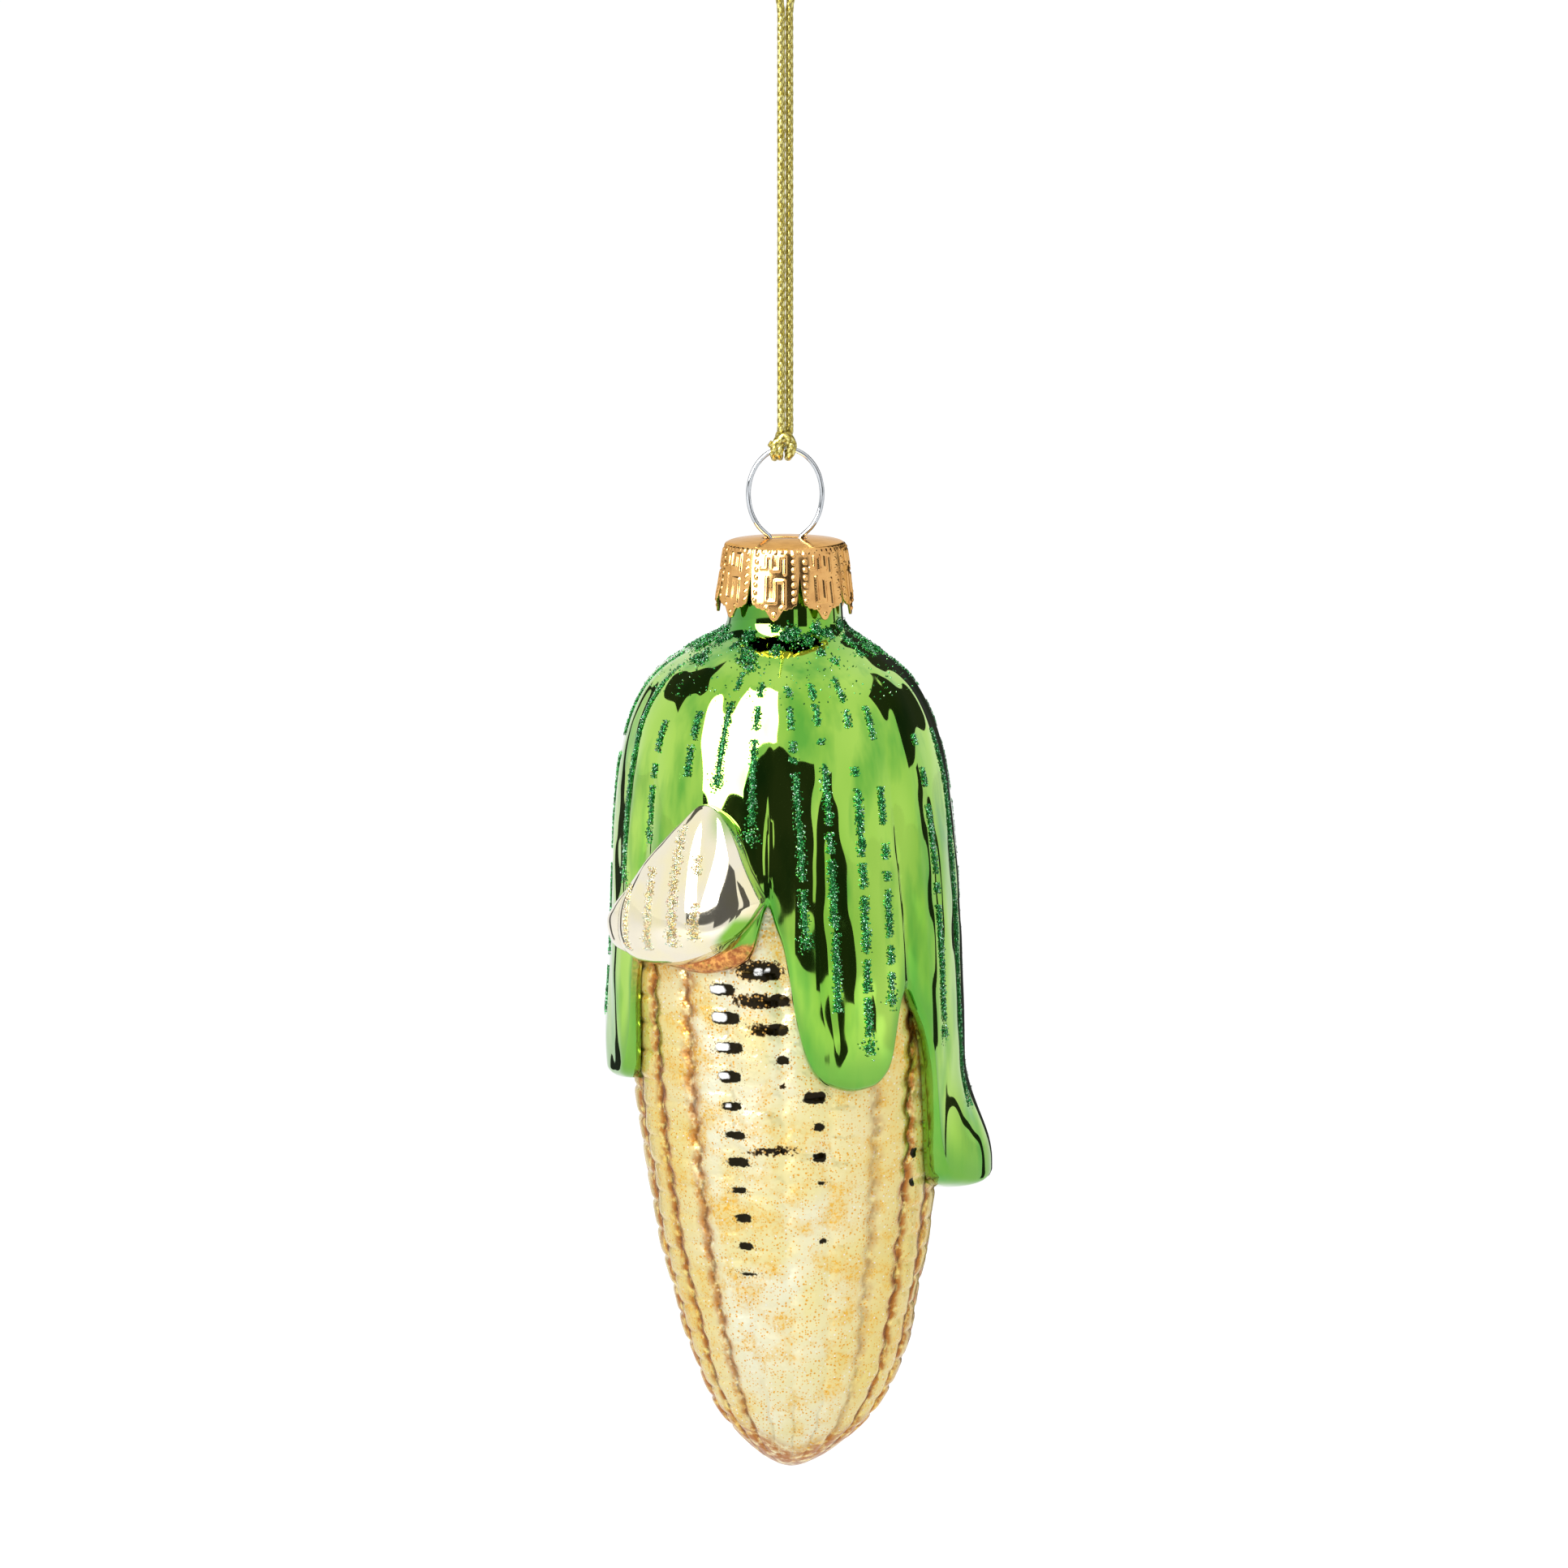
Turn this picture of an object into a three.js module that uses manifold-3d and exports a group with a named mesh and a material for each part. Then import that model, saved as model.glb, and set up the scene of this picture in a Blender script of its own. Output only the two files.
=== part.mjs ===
// A blown-glass corn-on-the-cob ornament that hangs by a metallic cord. Millimetres, +Z up.
// The origin is the top of the cord's eye, where a hook bears on it. The front is -Y. An angle
// is in degrees round the upright axis from the front, positive towards +X. A height is
// measured up from the glass tip.
import * as THREE from "three";
import { mergeVertices } from "three/addons/utils/BufferGeometryUtils.js";
import Module from "manifold-3d";

const wasm = await Module();
wasm.setup();

// Clearances
const seatGap = 0.3; // between pieces that touch on the real ornament
const wireGap = 0.3; // between the hanger wire and the cord that is hitched round it
const foldSeatGap = 0.45; // under the folded leaf
const glitterSeatGap = 0.5; // under the glitter's long straight runs
const slotClearance = 0.45; // at each end of the cap's slot
const legClearance = 0.5; // between the hanger's legs and the bore of the neck

// Glass bulb
const bulbHeight = 105.7; // tip to the foot of the neck
const cobWidestRadius = 19.9;
const glassWall = 0.9;
const shoulderWallExtra = 0.5; // more wall where the shoulder turns in steeply
const neckRadius = 6.2;
const neckLength = 9.2;
const innerTipWall = 2.5;
const kernelColumns = 20;
const kernelPitch = 3.55;
const kernelDepth = 0.55;
const kernelTop = 69; // the kernels fade out at this height, under the husk
const kernelFade = 4;
const grooveAngle = -38.5; // one of the upright grooves between the kernel columns

// The outlines below were drawn for a bulb of this height and radius, and follow the real one
const drawnHeight = 105.7;
const drawnRadius = 19.9;
// The crest that the kernels' crowns lie on: height and radius
const cobCrest = [
  [0.5, 2.1], [1.5, 3.95], [2.55, 5.35], [4.05, 7.1], [6.6, 9.45], [9.1, 11.0], [11.7, 12.3],
  [16.7, 14.1], [21.8, 15.3], [26.9, 16.5], [32, 17.4], [37, 18.15], [42, 18.8], [47, 19.2],
  [57.5, 19.75], [67.5, 19.9],
];
const cobShoulder = [
  [73, 19.75], [83, 19.1], [90, 18.0], [95.4, 16.2], [98, 14.8], [100, 13.0], [101.6, 11.0],
  [103.2, 8.6], [104.2, 7.0],
];
// How far the hand-blown bulb bows off its axis, towards +X
const bowKeys = [
  [0, 0.75], [6, 1.4], [14, 1.65], [22, 1.35], [32, 1.0], [47, 0.6], [62, 0.15], [73, 0],
  [88, -0.4], [96, -0.6], [100, -0.6], [104.5, 0],
];

// Husk of leaves over the cob
const sleeveWall = 0.5; // round the neck
const sleeveBare = 1.7; // length of glass that is left bare above it, inside the cap
const leastHuskWall = 0.6;
const huskProfile = [
  [36, 21.4], [47, 21.7], [55, 21.9], [62.5, 21.85], [72.5, 21.5], [77.5, 21.25], [82.5, 20.85],
  [87.8, 20.2], [92.9, 19.0], [95.4, 18.05], [98, 16.6], [100, 14.75], [101.6, 12.7],
  [103.2, 10.4], [104, 9.0], [104.9, 7.9], [105.4, 7.25], [106, 7.0],
];
// Where the husk's lower edge runs: angle and height, once round. The peaks are the notches
// between the leaves and the troughs are the leaf tips.
const huskEdge = [
  [-180, 59], [-169, 51], [-156, 47.5], [-144, 51], [-134, 58.5], [-126, 52.5], [-112, 49.6],
  [-98, 49], [-86, 49], [-76, 49.4], [-69.5, 50.8], [-66.5, 54.5], [-64.5, 60], [-62, 64.4],
  [-54, 65], [-42, 64.8], [-29, 64.4], [-21.7, 64.9], [-14.5, 65.9], [-10.8, 67.4], [-8.6, 70.2],
  [-6, 73], [-3.4, 70.4], [-0.8, 67.6], [1, 64], [2.6, 59.5], [5.7, 54.4], [9, 52], [13, 50.8],
  [22.5, 49.9], [29, 50.3], [34, 51.9], [38, 56], [41.4, 60.2], [44.8, 62], [48.4, 59.6],
  [52.4, 56.4], [55.6, 52], [57.6, 46.5], [60, 41], [64, 37.6], [71, 36.2], [79, 35.6],
  [88, 36.4], [100, 37.2], [110, 39.5], [119, 45.5], [126, 54], [131, 60], [138, 53.5],
  [146, 48], [156, 46], [166, 48.5], [173, 53.5],
];
const huskAngleStep = 8;
const huskEdgeRounding = 0.9; // height over which the lower edge rounds in
// The valleys between neighbouring leaves: the angle at the neck and at the notch
const leafValleys = [[-176, -180], [-128, -134], [-48, -62], [-3, -6], [41, 44.8], [124, 131]];
const valley = { depth: 0.7, halfWidth: 9, foot: 60, fade: 98, top: 103 };
// How the leaf tips flare out: angle, half width, height of the tip, length and reach
const leafTips = [
  { angle: 88, halfWidth: 26, height: 38.6, length: 13, reach: 3.4 },
  { angle: -100, halfWidth: 26, height: 53, length: 14, reach: 1.0 },
  { angle: 156, halfWidth: 24, height: 49, length: 12, reach: 0.8 },
  { angle: -156, halfWidth: 24, height: 50, length: 12, reach: 0.8 },
];

// The leaf that is folded down over the front left: its rim, as angle and height
const foldRim = [
  [-29, 86.3], [-36.4, 83.6], [-48.5, 78.8], [-59.7, 74.6], [-70.4, 71], [-75.6, 68.7],
  [-72.6, 66.8], [-63.1, 65.7], [-53.5, 65.3], [-40.9, 65.3], [-30.6, 65.8], [-23.5, 66.7],
  [-16.4, 68.3], [-12.2, 70], [-7.9, 72.6], [-6.3, 74], [-7.8, 75.5], [-10.6, 78], [-13.9, 81.2],
  [-17.4, 84], [-23, 86],
];
const foldCentre = [-40, 73.6];
const foldRise = 3.5; // how far it stands out above the husk at its fullest
const foldRimThickness = 0.7;
const foldPoint = { height: 85.6, length: 14, share: 0.35 }; // it thins towards its point
const foldRimSteps = 36;

// Dried glitter along the veins
const glitterWidth = 1.25;
const glitterThickness = 0.35;
const glitterStep = 7.5; // height between its corners
// Each line: angle at the neck, angle at its lower end, and the height of that end
const glitterLines = [
  [2, 6.5, 68], [13, 17.1, 56.5], [27, 27.4, 54.5], [37, 36.6, 60.3],
  [-30, -36.2, 85.4], [-17, -23.4, 87.5], [-7, -11, 81],
  [55, 62.9, 55], [74, 79, 46], [95, 97, 47], [112, 113, 56],
  [-44, -54, 79.8], [-62, -69, 74.2], [-82, -91, 57], [-106, -117, 57],
  [136, 143, 56], [150, 156, 50.5], [165, 169, 57],
  [-168, -170, 60.5], [-154, -156, 52], [-140, -143, 56.5],
];
const collar = { top: 104, foot: 102.6, angleStep: 12, thickness: 0.5 };
const veinHeights = [103.3, 101.6, 99.6, 96.8, 93]; // where the veins bend over the shoulder
// On the folded leaf: angle and height of both ends
const foldGlitterLines = {
  lining_glitter_right: [[-26.8, 79.5], [-26, 69.6]],
  lining_glitter_middle: [[-32.6, 81.8], [-33.2, 68.4]],
  lining_glitter_left: [[-42.2, 77.4], [-42.4, 67.8]],
  lining_glitter_outer: [[-53.8, 73.4], [-52.6, 67.8]],
};
const foldGlitterSteps = 4;

// Metal cap
const capSheet = 0.3;
const capDome = 0.5; // how far the middle of its top stands above the rim
const capPetals = 8;
const capPetalTurn = -9.5; // the angle of the petal nearest the front
// Its outside below the rim: depth, and radius beyond the husk's sleeve
const capSide = [[0, 0], [0.25, 0.3], [0.7, 0.5], [3.3, 0.9], [5, 1.1], [7, 1.35], [9, 1.4]];
const capShoulderDepth = 0.7;
// Half of a petal's lower edge: share of its half angle, from its middle to the slit, and depth
const petalEdge = [[0, 8.85], [0.22, 8.4], [0.6, 7.6], [0.85, 6.7], [0.945, 4.2], [1, 2.95]];
const slotWidth = 1.3;

// Hanger wire
const wireDiameter = 0.6;
const ringHeight = 10.95;
const ringHalfWidth = 4.53;
const ringFoot = 1.95; // half-width where it enters the slot
// Half of the ring above its foot: shares of its half-width and of its height
const ringShape = [
  [0.54, 0.045], [0.72, 0.12], [0.91, 0.265], [1, 0.45], [0.955, 0.64], [0.81, 0.785],
  [0.6, 0.935], [0.42, 0.988], [0.2, 0.999], [0, 1],
];
const legDepth = 16.5; // below the slot
// A leg from the slot down: share of the way from the foot out to the bore, and of its depth
const legShape = [[-0.06, 0.055], [0.22, 0.18], [0.88, 0.455], [1, 0.67], [1, 1]];
const wireSides = 8;
const wireSteps = 72;

// Cord
const cordDiameter = 1.0;
const cordSides = 8;
const strandSide = 0.5; // how far each strand lies to its side of the middle
const strandDepth = 0.42; // and the left one in front of it, the right one behind
const cordRise = 64.5; // the ring's top to the hook
const hitchCord = 0.9; // the cord's thickness where the hitch squeezes it
const hitchSpread = 1.2; // half the distance between its two wraps
const hitchTop = 2.7;
const strandSteps = 25;
// A strand's points above the hitch: distance out to its side, and height from the hook
const strandRoute = [
  [0.5, -58], [0.5, -53], [0.5, -48], [0.5, -42], [0.5, -36], [0.5, -30], [0.5, -24],
  [0.5, -18], [0.5, -13], [0.52, -10.4], [0.85, -8.3], [1.55, -6.4], [2.05, -4.5], [2.0, -2.7],
  [1.4, -1.2], [0.7, -0.3],
];
const endKnot = { radius: 2.0, height: 3.4, tail: 4.2, tailLean: 0.9 };

// Heights along the stack
const neckFoot = bulbHeight;
const glassHeight = bulbHeight + neckLength;
const capRim = glassHeight + seatGap + capSheet;
const slotHeight = capRim + capDome;
const ringTop = slotHeight + ringHeight;
const hookHeight = ringTop + cordRise;
const sleeveRadius = neckRadius + seatGap + sleeveWall;

const radians = THREE.MathUtils.degToRad;
const smooth = THREE.MathUtils.smoothstep;
const stretch = bulbHeight / drawnHeight;
const widen = cobWidestRadius / drawnRadius;
const tall = (keys) => keys.map(([height, radius]) => [height * stretch, radius * widen]);
const tallPoints = (keys) => keys.map(([angle, height]) => [angle, height * stretch]);

// A smooth curve through [x, y] keys that never overshoots them, held flat past its ends
function through(keys) {
  const n = keys.length;
  const slope = [];
  for (let i = 0; i + 1 < n; i++) {
    slope.push((keys[i + 1][1] - keys[i][1]) / (keys[i + 1][0] - keys[i][0]));
  }
  const tangent = keys.map((_, i) => {
    if (i === 0 || i === n - 1) return slope[Math.min(i, n - 2)];
    if (slope[i - 1] * slope[i] <= 0) return 0;
    return (2 * slope[i - 1] * slope[i]) / (slope[i - 1] + slope[i]);
  });
  return (x) => {
    if (x <= keys[0][0]) return keys[0][1];
    if (x >= keys[n - 1][0]) return keys[n - 1][1];
    let i = 0;
    while (x > keys[i + 1][0]) i++;
    const span = keys[i + 1][0] - keys[i][0];
    const t = (x - keys[i][0]) / span;
    const blend = t * t * (3 - 2 * t);
    const leave = tangent[i] * t * (1 - t) * (1 - t);
    const arrive = tangent[i + 1] * t * t * (1 - t);
    return keys[i][1] + (keys[i + 1][1] - keys[i][1]) * blend + span * (leave - arrive);
  };
}

const bow = through(tall(bowKeys));

// A point at an angle, height and radius on the bulb
function onBulb(angle, height, radius) {
  const a = radians(angle);
  const x = bow(height) + radius * Math.sin(a);
  return new THREE.Vector3(x, -radius * Math.cos(a), height - hookHeight);
}

// A closed geometry from rings of equal length that run anticlockwise, up the outside. With
// poles it is closed by a point at each end, and without them the last ring joins the first.
function closedBody(rings, poles) {
  const count = rings[0].length;
  const points = rings.flat();
  const faces = [];
  const spans = poles ? rings.length - 1 : rings.length;
  for (let r = 0; r < spans; r++) {
    const next = (r + 1) % rings.length;
    for (let i = 0; i < count; i++) {
      const j = (i + 1) % count;
      const [a, b] = [r * count + i, r * count + j];
      const [c, d] = [next * count + i, next * count + j];
      faces.push(a, b, d, a, d, c);
    }
  }
  if (poles) {
    const [start, end] = [points.length, points.length + 1];
    const last = (rings.length - 1) * count;
    points.push(...poles);
    for (let i = 0; i < count; i++) {
      const j = (i + 1) % count;
      faces.push(start, j, i, end, last + i, last + j);
    }
  }
  const geometry = new THREE.BufferGeometry();
  const flat = new Float32Array(points.flatMap((p) => [p.x, p.y, p.z]));
  geometry.setAttribute("position", new THREE.BufferAttribute(flat, 3));
  geometry.setIndex(faces);
  return geometry;
}

function asSolid(geometry) {
  const bare = geometry.clone();
  bare.deleteAttribute("normal");
  bare.deleteAttribute("uv");
  const merged = mergeVertices(bare, 1e-4);
  return new wasm.Manifold(new wasm.Mesh({
    numProp: 3,
    vertProperties: new Float32Array(merged.attributes.position.array),
    triVerts: new Uint32Array(merged.index.array),
  }));
}

function asGeometry(solid) {
  const mesh = solid.getMesh();
  const geometry = new THREE.BufferGeometry();
  geometry.setAttribute("position", new THREE.BufferAttribute(mesh.vertProperties, 3));
  geometry.setIndex(new THREE.BufferAttribute(mesh.triVerts, 1));
  return geometry;
}

function joined(geometries) {
  return asGeometry(geometries.map(asSolid).reduce((whole, piece) => whole.add(piece)));
}

// A round tube along a curve through points
function tube(points, diameter, sides, steps) {
  const path = new THREE.CatmullRomCurve3(points, false, "centripetal");
  const section = new THREE.Shape();
  section.absarc(0, 0, diameter / 2, 0, 2 * Math.PI);
  return new THREE.ExtrudeGeometry(section, {
    steps, curveSegments: sides / 2, bevelEnabled: false, extrudePath: path,
  });
}

// Glass bulb: the cob, its shoulder and its neck
const glassOutline = through([...tall([...cobCrest, ...cobShoulder]), [neckFoot, neckRadius]]);
const glassOutside = (height) =>
  height < neckFoot * 0.9 ? glassOutline(height) : Math.max(glassOutline(height), neckRadius);

// The radius at a height that stands off a surface by a gap that is square to its slope
function standOff(surface, height, gap) {
  const step = 0.25;
  const slope = (surface(height + step) - surface(height - step)) / (2 * step);
  return surface(height) + gap * Math.hypot(1, slope);
}
const offGlass = (height, gap) => standOff(glassOutside, height, gap);

// A kernel's flat-topped rise from the grooves: 0 in a groove and 1 on the crown
const crown = (share) => 1 - Math.abs(2 * share - 1) ** 3;

function cobRadius(angle, height) {
  const turns = ((angle - grooveAngle) / 360) * kernelColumns;
  const column = Math.floor(turns + 1e-6);
  const row = height / kernelPitch + (column % 2 === 0 ? 0 : 0.5);
  const rise = crown(turns - column) * (0.35 + 0.65 * crown(row % 1));
  const fadeOut = 1 - smooth(height, kernelTop - kernelFade, kernelTop);
  const fadeIn = smooth(height, 0, 2 * kernelPitch);
  return glassOutside(height) - kernelDepth * fadeOut * fadeIn * (1 - rise);
}

function glassBody() {
  const angles = [];
  for (let i = 0; i < 2 * kernelColumns; i++) angles.push(grooveAngle + (i * 180) / kernelColumns);
  const ring = (height, radius) => angles.map((a) => onBulb(a, height, radius(a, height)));
  const outside = tall(cobCrest).slice(0, 2).map(([height]) => height);
  for (let h = kernelPitch; h < kernelTop; h += kernelPitch / 2) outside.push(h);
  const shoulder = tall(cobShoulder).map(([height]) => height);
  outside.push(...shoulder.filter((h) => h > kernelTop), neckFoot, glassHeight);
  const insideRadius = (_, height) => {
    const kernels = kernelDepth * (1 - smooth(height, kernelTop, 1.2 * kernelTop));
    const steep = smooth(height, 0.87 * neckFoot, 0.93 * neckFoot);
    const turned = steep * (1 - smooth(height, 0.99 * neckFoot, neckFoot));
    return glassOutside(height) - glassWall - shoulderWallExtra * turned - kernels;
  };
  const insideShares = [1, 0.985, 0.955, 0.92, 0.84, 0.7, 0.48, 0.25, 0.11, 0.055];
  const inside = [glassHeight, ...insideShares.map((share) => share * neckFoot)];
  const rings = [
    ...outside.map((h) => ring(h, cobRadius)),
    ...inside.map((h) => ring(h, insideRadius)),
  ];
  return closedBody(rings, [onBulb(0, 0, 0), onBulb(0, innerTipWall, 0)]);
}

// Husk
const huskOutline = through(tall(huskProfile));
const sleeveFoot = huskProfile.at(-1)[0] * stretch;
const huskOutside = (height) =>
  Math.max(huskOutline(height), offGlass(height, seatGap + leastHuskWall));
const edgeKeys = tallPoints(huskEdge);
const [firstAngle, firstHeight] = edgeKeys[0];
const [lastAngle, lastHeight] = edgeKeys.at(-1);
const edgeHeight = through([
  [lastAngle - 360, lastHeight], ...edgeKeys, [firstAngle + 360, firstHeight],
]);

// The angle from a to b, the short way round
const turn = (a, b) => ((((b - a) % 360) + 540) % 360) - 180;

// How far a leaf tip flares out at an angle and height
function flare(tip, angle, height) {
  const across = Math.abs(turn(tip.angle, angle)) / tip.halfWidth;
  if (across >= 1) return 0;
  const foot = tip.height * stretch;
  return tip.reach * (1 - across * across) ** 2 * (1 - smooth(height, foot, foot + tip.length));
}

// How deep the valleys between the leaves are at an angle and height
function valleyDepth(angle, height) {
  const down = 1 - smooth(height, valley.foot * stretch, valley.top * stretch);
  const nearest = Math.min(...leafValleys.map(([neck, notch]) =>
    Math.abs(turn(neck + (notch - neck) * down, angle))));
  const rise = Math.min(1, nearest / valley.halfWidth) ** 0.7;
  return valley.depth * (1 - rise) * (1 - smooth(height, valley.fade * stretch, neckFoot));
}

function huskRadius(angle, height) {
  const reach = leafTips.reduce((sum, tip) => sum + flare(tip, angle, height), 0);
  const outside = huskOutside(height) - valleyDepth(angle, height) + reach;
  return Math.max(outside, offGlass(height, seatGap + leastHuskWall));
}

function husk() {
  const angles = [];
  for (let a = -180; a < 180; a += huskAngleStep) angles.push(a);
  for (const [a] of huskEdge) {
    if (!angles.some((b) => Math.abs(turn(a, b)) < huskAngleStep / 3)) angles.push(a);
  }
  angles.sort((a, b) => a - b);
  const shoulderRows = [104.9, 104, 102.4, 100, 97.4, 93.5, 88].map((h) => h * stretch);
  const leafTop = shoulderRows.at(-1);
  const row = (place) => angles.map((a) => place(a));
  const down = (a, share) => leafTop + (edgeHeight(a) - leafTop) * share;
  const outer = (a, h) => onBulb(a, h, huskRadius(a, h));
  const inner = (a, h) => onBulb(a, h, offGlass(h, seatGap));
  const edge = (a) => {
    const foot = offGlass(edgeHeight(a), seatGap);
    return onBulb(a, edgeHeight(a), foot + 0.6 * (huskRadius(a, edgeHeight(a)) - foot));
  };
  const sleeveTop = glassHeight - sleeveBare;
  const leafShares = [0.16, 0.32, 0.48, 0.62, 0.75, 0.88];
  const innerShares = [0.85, 0.7, 0.55, 0.42, 0.28, 0.14, 0];
  const shoulder = tall(cobShoulder).map(([height]) => height).filter((h) => h > leafTop);
  const rings = [
    row((a) => onBulb(a, sleeveTop, sleeveRadius)),
    row((a) => onBulb(a, sleeveFoot, sleeveRadius)),
    ...shoulderRows.map((h) => row((a) => outer(a, h))),
    ...leafShares.map((share) => row((a) => outer(a, down(a, share)))),
    row((a) => outer(a, edgeHeight(a) + huskEdgeRounding)),
    row(edge),
    row((a) => inner(a, edgeHeight(a))),
    ...innerShares.map((share) => row((a) => inner(a, down(a, share)))),
    ...[...shoulder, neckFoot].map((h) => row((a) => inner(a, h))),
    row((a) => inner(a, sleeveTop)),
  ];
  return closedBody(rings.reverse());
}

// Folded leaf
const [foldAngle, foldHeight] = tallPoints([foldCentre])[0];
const foldOutline = new THREE.CatmullRomCurve3(
  tallPoints(foldRim).map(([a, h]) => new THREE.Vector3(a, h, 0)), true, "centripetal",
).getPoints(foldRimSteps).slice(0, -1);

// Where a point lies between the fold's centre, 0, and its rim, 1
function foldShare(angle, height) {
  const [x, y] = [angle - foldAngle, height - foldHeight];
  let share = 0;
  foldOutline.forEach((p, i) => {
    const q = foldOutline[(i + 1) % foldOutline.length];
    const [px, py] = [p.x - foldAngle, p.y - foldHeight];
    const [qx, qy] = [q.x - foldAngle, q.y - foldHeight];
    const area = px * qy - py * qx;
    share = Math.max(share, (x * (qy - py) - y * (qx - px)) / area);
  });
  return share;
}

// The fold's outside at an angle and height, and how far along to its rim
function foldRadius(angle, height, share) {
  const full = Math.sqrt(Math.max(0, 1 - share ** 2.4));
  const rise = foldRimThickness + (foldRise - foldRimThickness) * full;
  const point = smooth(foldPoint.height * stretch - height, 0, foldPoint.length);
  const thin = foldPoint.share + (1 - foldPoint.share) * point;
  return huskRadius(angle, height) + foldSeatGap + rise * thin;
}

function foldedLeaf() {
  const ring = (share, radius) => foldOutline.map((p) => {
    const a = foldAngle + (p.x - foldAngle) * share;
    const h = foldHeight + (p.y - foldHeight) * share;
    return onBulb(a, h, radius(a, h, share));
  });
  const under = (a, h) => huskRadius(a, h) + foldSeatGap;
  const rim = (a, h) => under(a, h) + 0.5 * (foldRadius(a, h, 1) - under(a, h));
  const rings = [
    ...[0.25, 0.5, 0.75, 0.97].map((share) => ring(share, under)),
    ring(1, rim),
    ...[0.97, 0.89, 0.75, 0.55, 0.3].map((share) => ring(share, foldRadius)),
  ];
  return closedBody(rings, [
    onBulb(foldAngle, foldHeight, under(foldAngle, foldHeight)),
    onBulb(foldAngle, foldHeight, foldRadius(foldAngle, foldHeight, 0)),
  ]);
}

// A low strip of dried glitter down a line of [angle, height] points on a surface
function strip(line, surface) {
  const rings = line.map(([angle, height], i) => {
    const taper = i === line.length - 1 ? 0.55 : 1;
    const foot = standOff((h) => surface(angle, h), height, glitterSeatGap);
    const side = THREE.MathUtils.radToDeg((glitterWidth * taper) / 2 / foot);
    const place = (across, out) => onBulb(angle + side * across, height, foot + out);
    const thick = glitterThickness * taper;
    return [place(-1, 0), place(1, 0), place(0.6, thick), place(-0.6, thick)];
  });
  const middle = (ring) =>
    ring.reduce((sum, p) => sum.add(p), new THREE.Vector3()).divideScalar(ring.length);
  return closedBody(rings, [middle(rings[0]), middle(rings.at(-1))]);
}

// The glitter along the husk's veins, and the thick ring of it round the foot of the neck
function veinGlitter() {
  const start = veinHeights[0] * stretch;
  const veins = tallPoints(glitterLines.map(([, angle, end]) => [angle, end])).map(
    ([endAngle, end], i) => {
      const heights = veinHeights.map((h) => h * stretch).filter((h) => h > end);
      const steps = Math.max(1, Math.round((heights.at(-1) - end) / glitterStep));
      const bend = heights.at(-1);
      for (let s = 1; s <= steps; s++) heights.push(bend + ((end - bend) * s) / steps);
      const [neckAngle] = glitterLines[i];
      const line = heights.map((h) => {
        const down = Math.sqrt((start - h) / (start - end));
        return [neckAngle + (endAngle - neckAngle) * down, h];
      });
      return strip(line, huskRadius);
    },
  );
  const [top, foot] = [collar.top * stretch, collar.foot * stretch];
  const sections = [];
  for (let a = 0; a < 360; a += collar.angleStep) {
    const at = (h, out) => onBulb(a, h, standOff(huskOutside, h, glitterSeatGap) + out);
    const thick = collar.thickness;
    sections.push([at(top, thick), at(foot, thick), at(foot, 0), at(top, 0)]);
  }
  return joined([closedBody(sections), ...veins]);
}

function foldGlitter([[topAngle, top], [endAngle, end]]) {
  const line = [];
  for (let s = 0; s <= foldGlitterSteps; s++) {
    const share = s / foldGlitterSteps;
    line.push([topAngle + (endAngle - topAngle) * share, (top + (end - top) * share) * stretch]);
  }
  return strip(line, (a, h) => foldRadius(a, h, foldShare(a, h)));
}

// Cap of thin stamped metal, with petals that stand out round the neck
function cap() {
  const halfPetal = 180 / capPetals;
  const half = petalEdge.slice(1, -1);
  const around = [
    ...half.map(([share, depth]) => [-share, depth]).reverse(),
    petalEdge[0],
    ...half,
    petalEdge.at(-1),
  ];
  const columns = [];
  for (let p = 0; p < capPetals; p++) {
    const middle = capPetalTurn + 2 * halfPetal * p;
    columns.push(...around.map(([share, depth]) => [middle + share * halfPetal, depth]));
  }
  const side = through(capSide);
  const at = (angle, depth, inward) => {
    const a = radians(angle);
    const radius = sleeveRadius + side(depth) - inward;
    const z = capRim - depth - hookHeight;
    return new THREE.Vector3(radius * Math.sin(a), -radius * Math.cos(a), z);
  };
  const ring = (depth, inward) => columns.map(([angle, edge]) => at(angle, depth(edge), inward));
  const fixed = (depth) => () => depth;
  const below = (share) => (edge) => capShoulderDepth + (edge - capShoulderDepth) * share;
  const topRing = (depth) => columns.map(([angle]) => at(angle, depth, sleeveRadius / 2));
  const domeRise = 0.75 * capDome;
  const corner = capSheet * 1.5;
  const rings = [
    topRing(capSheet - domeRise),
    ring(fixed(capSheet), corner),
    ring(fixed(capShoulderDepth), capSheet),
    ring(below(1), capSheet),
    ring(below(1), 0),
    ring(below(0.45), 0),
    ring(fixed(capShoulderDepth), 0),
    ring(fixed(capSide[1][0]), 0),
    ring(fixed(0), 0),
    topRing(-domeRise),
  ];
  const peak = slotHeight - hookHeight;
  const domed = closedBody(rings, [
    new THREE.Vector3(0, 0, peak - capSheet), new THREE.Vector3(0, 0, peak),
  ]);
  const slotLength = 2 * (ringFoot + wireDiameter / 2 + slotClearance);
  const slot = new THREE.BoxGeometry(slotLength, slotWidth, 4 * (capSheet + capDome));
  slot.translate(0, 0, peak);
  return asGeometry(asSolid(domed).subtract(asSolid(slot)));
}

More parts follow.
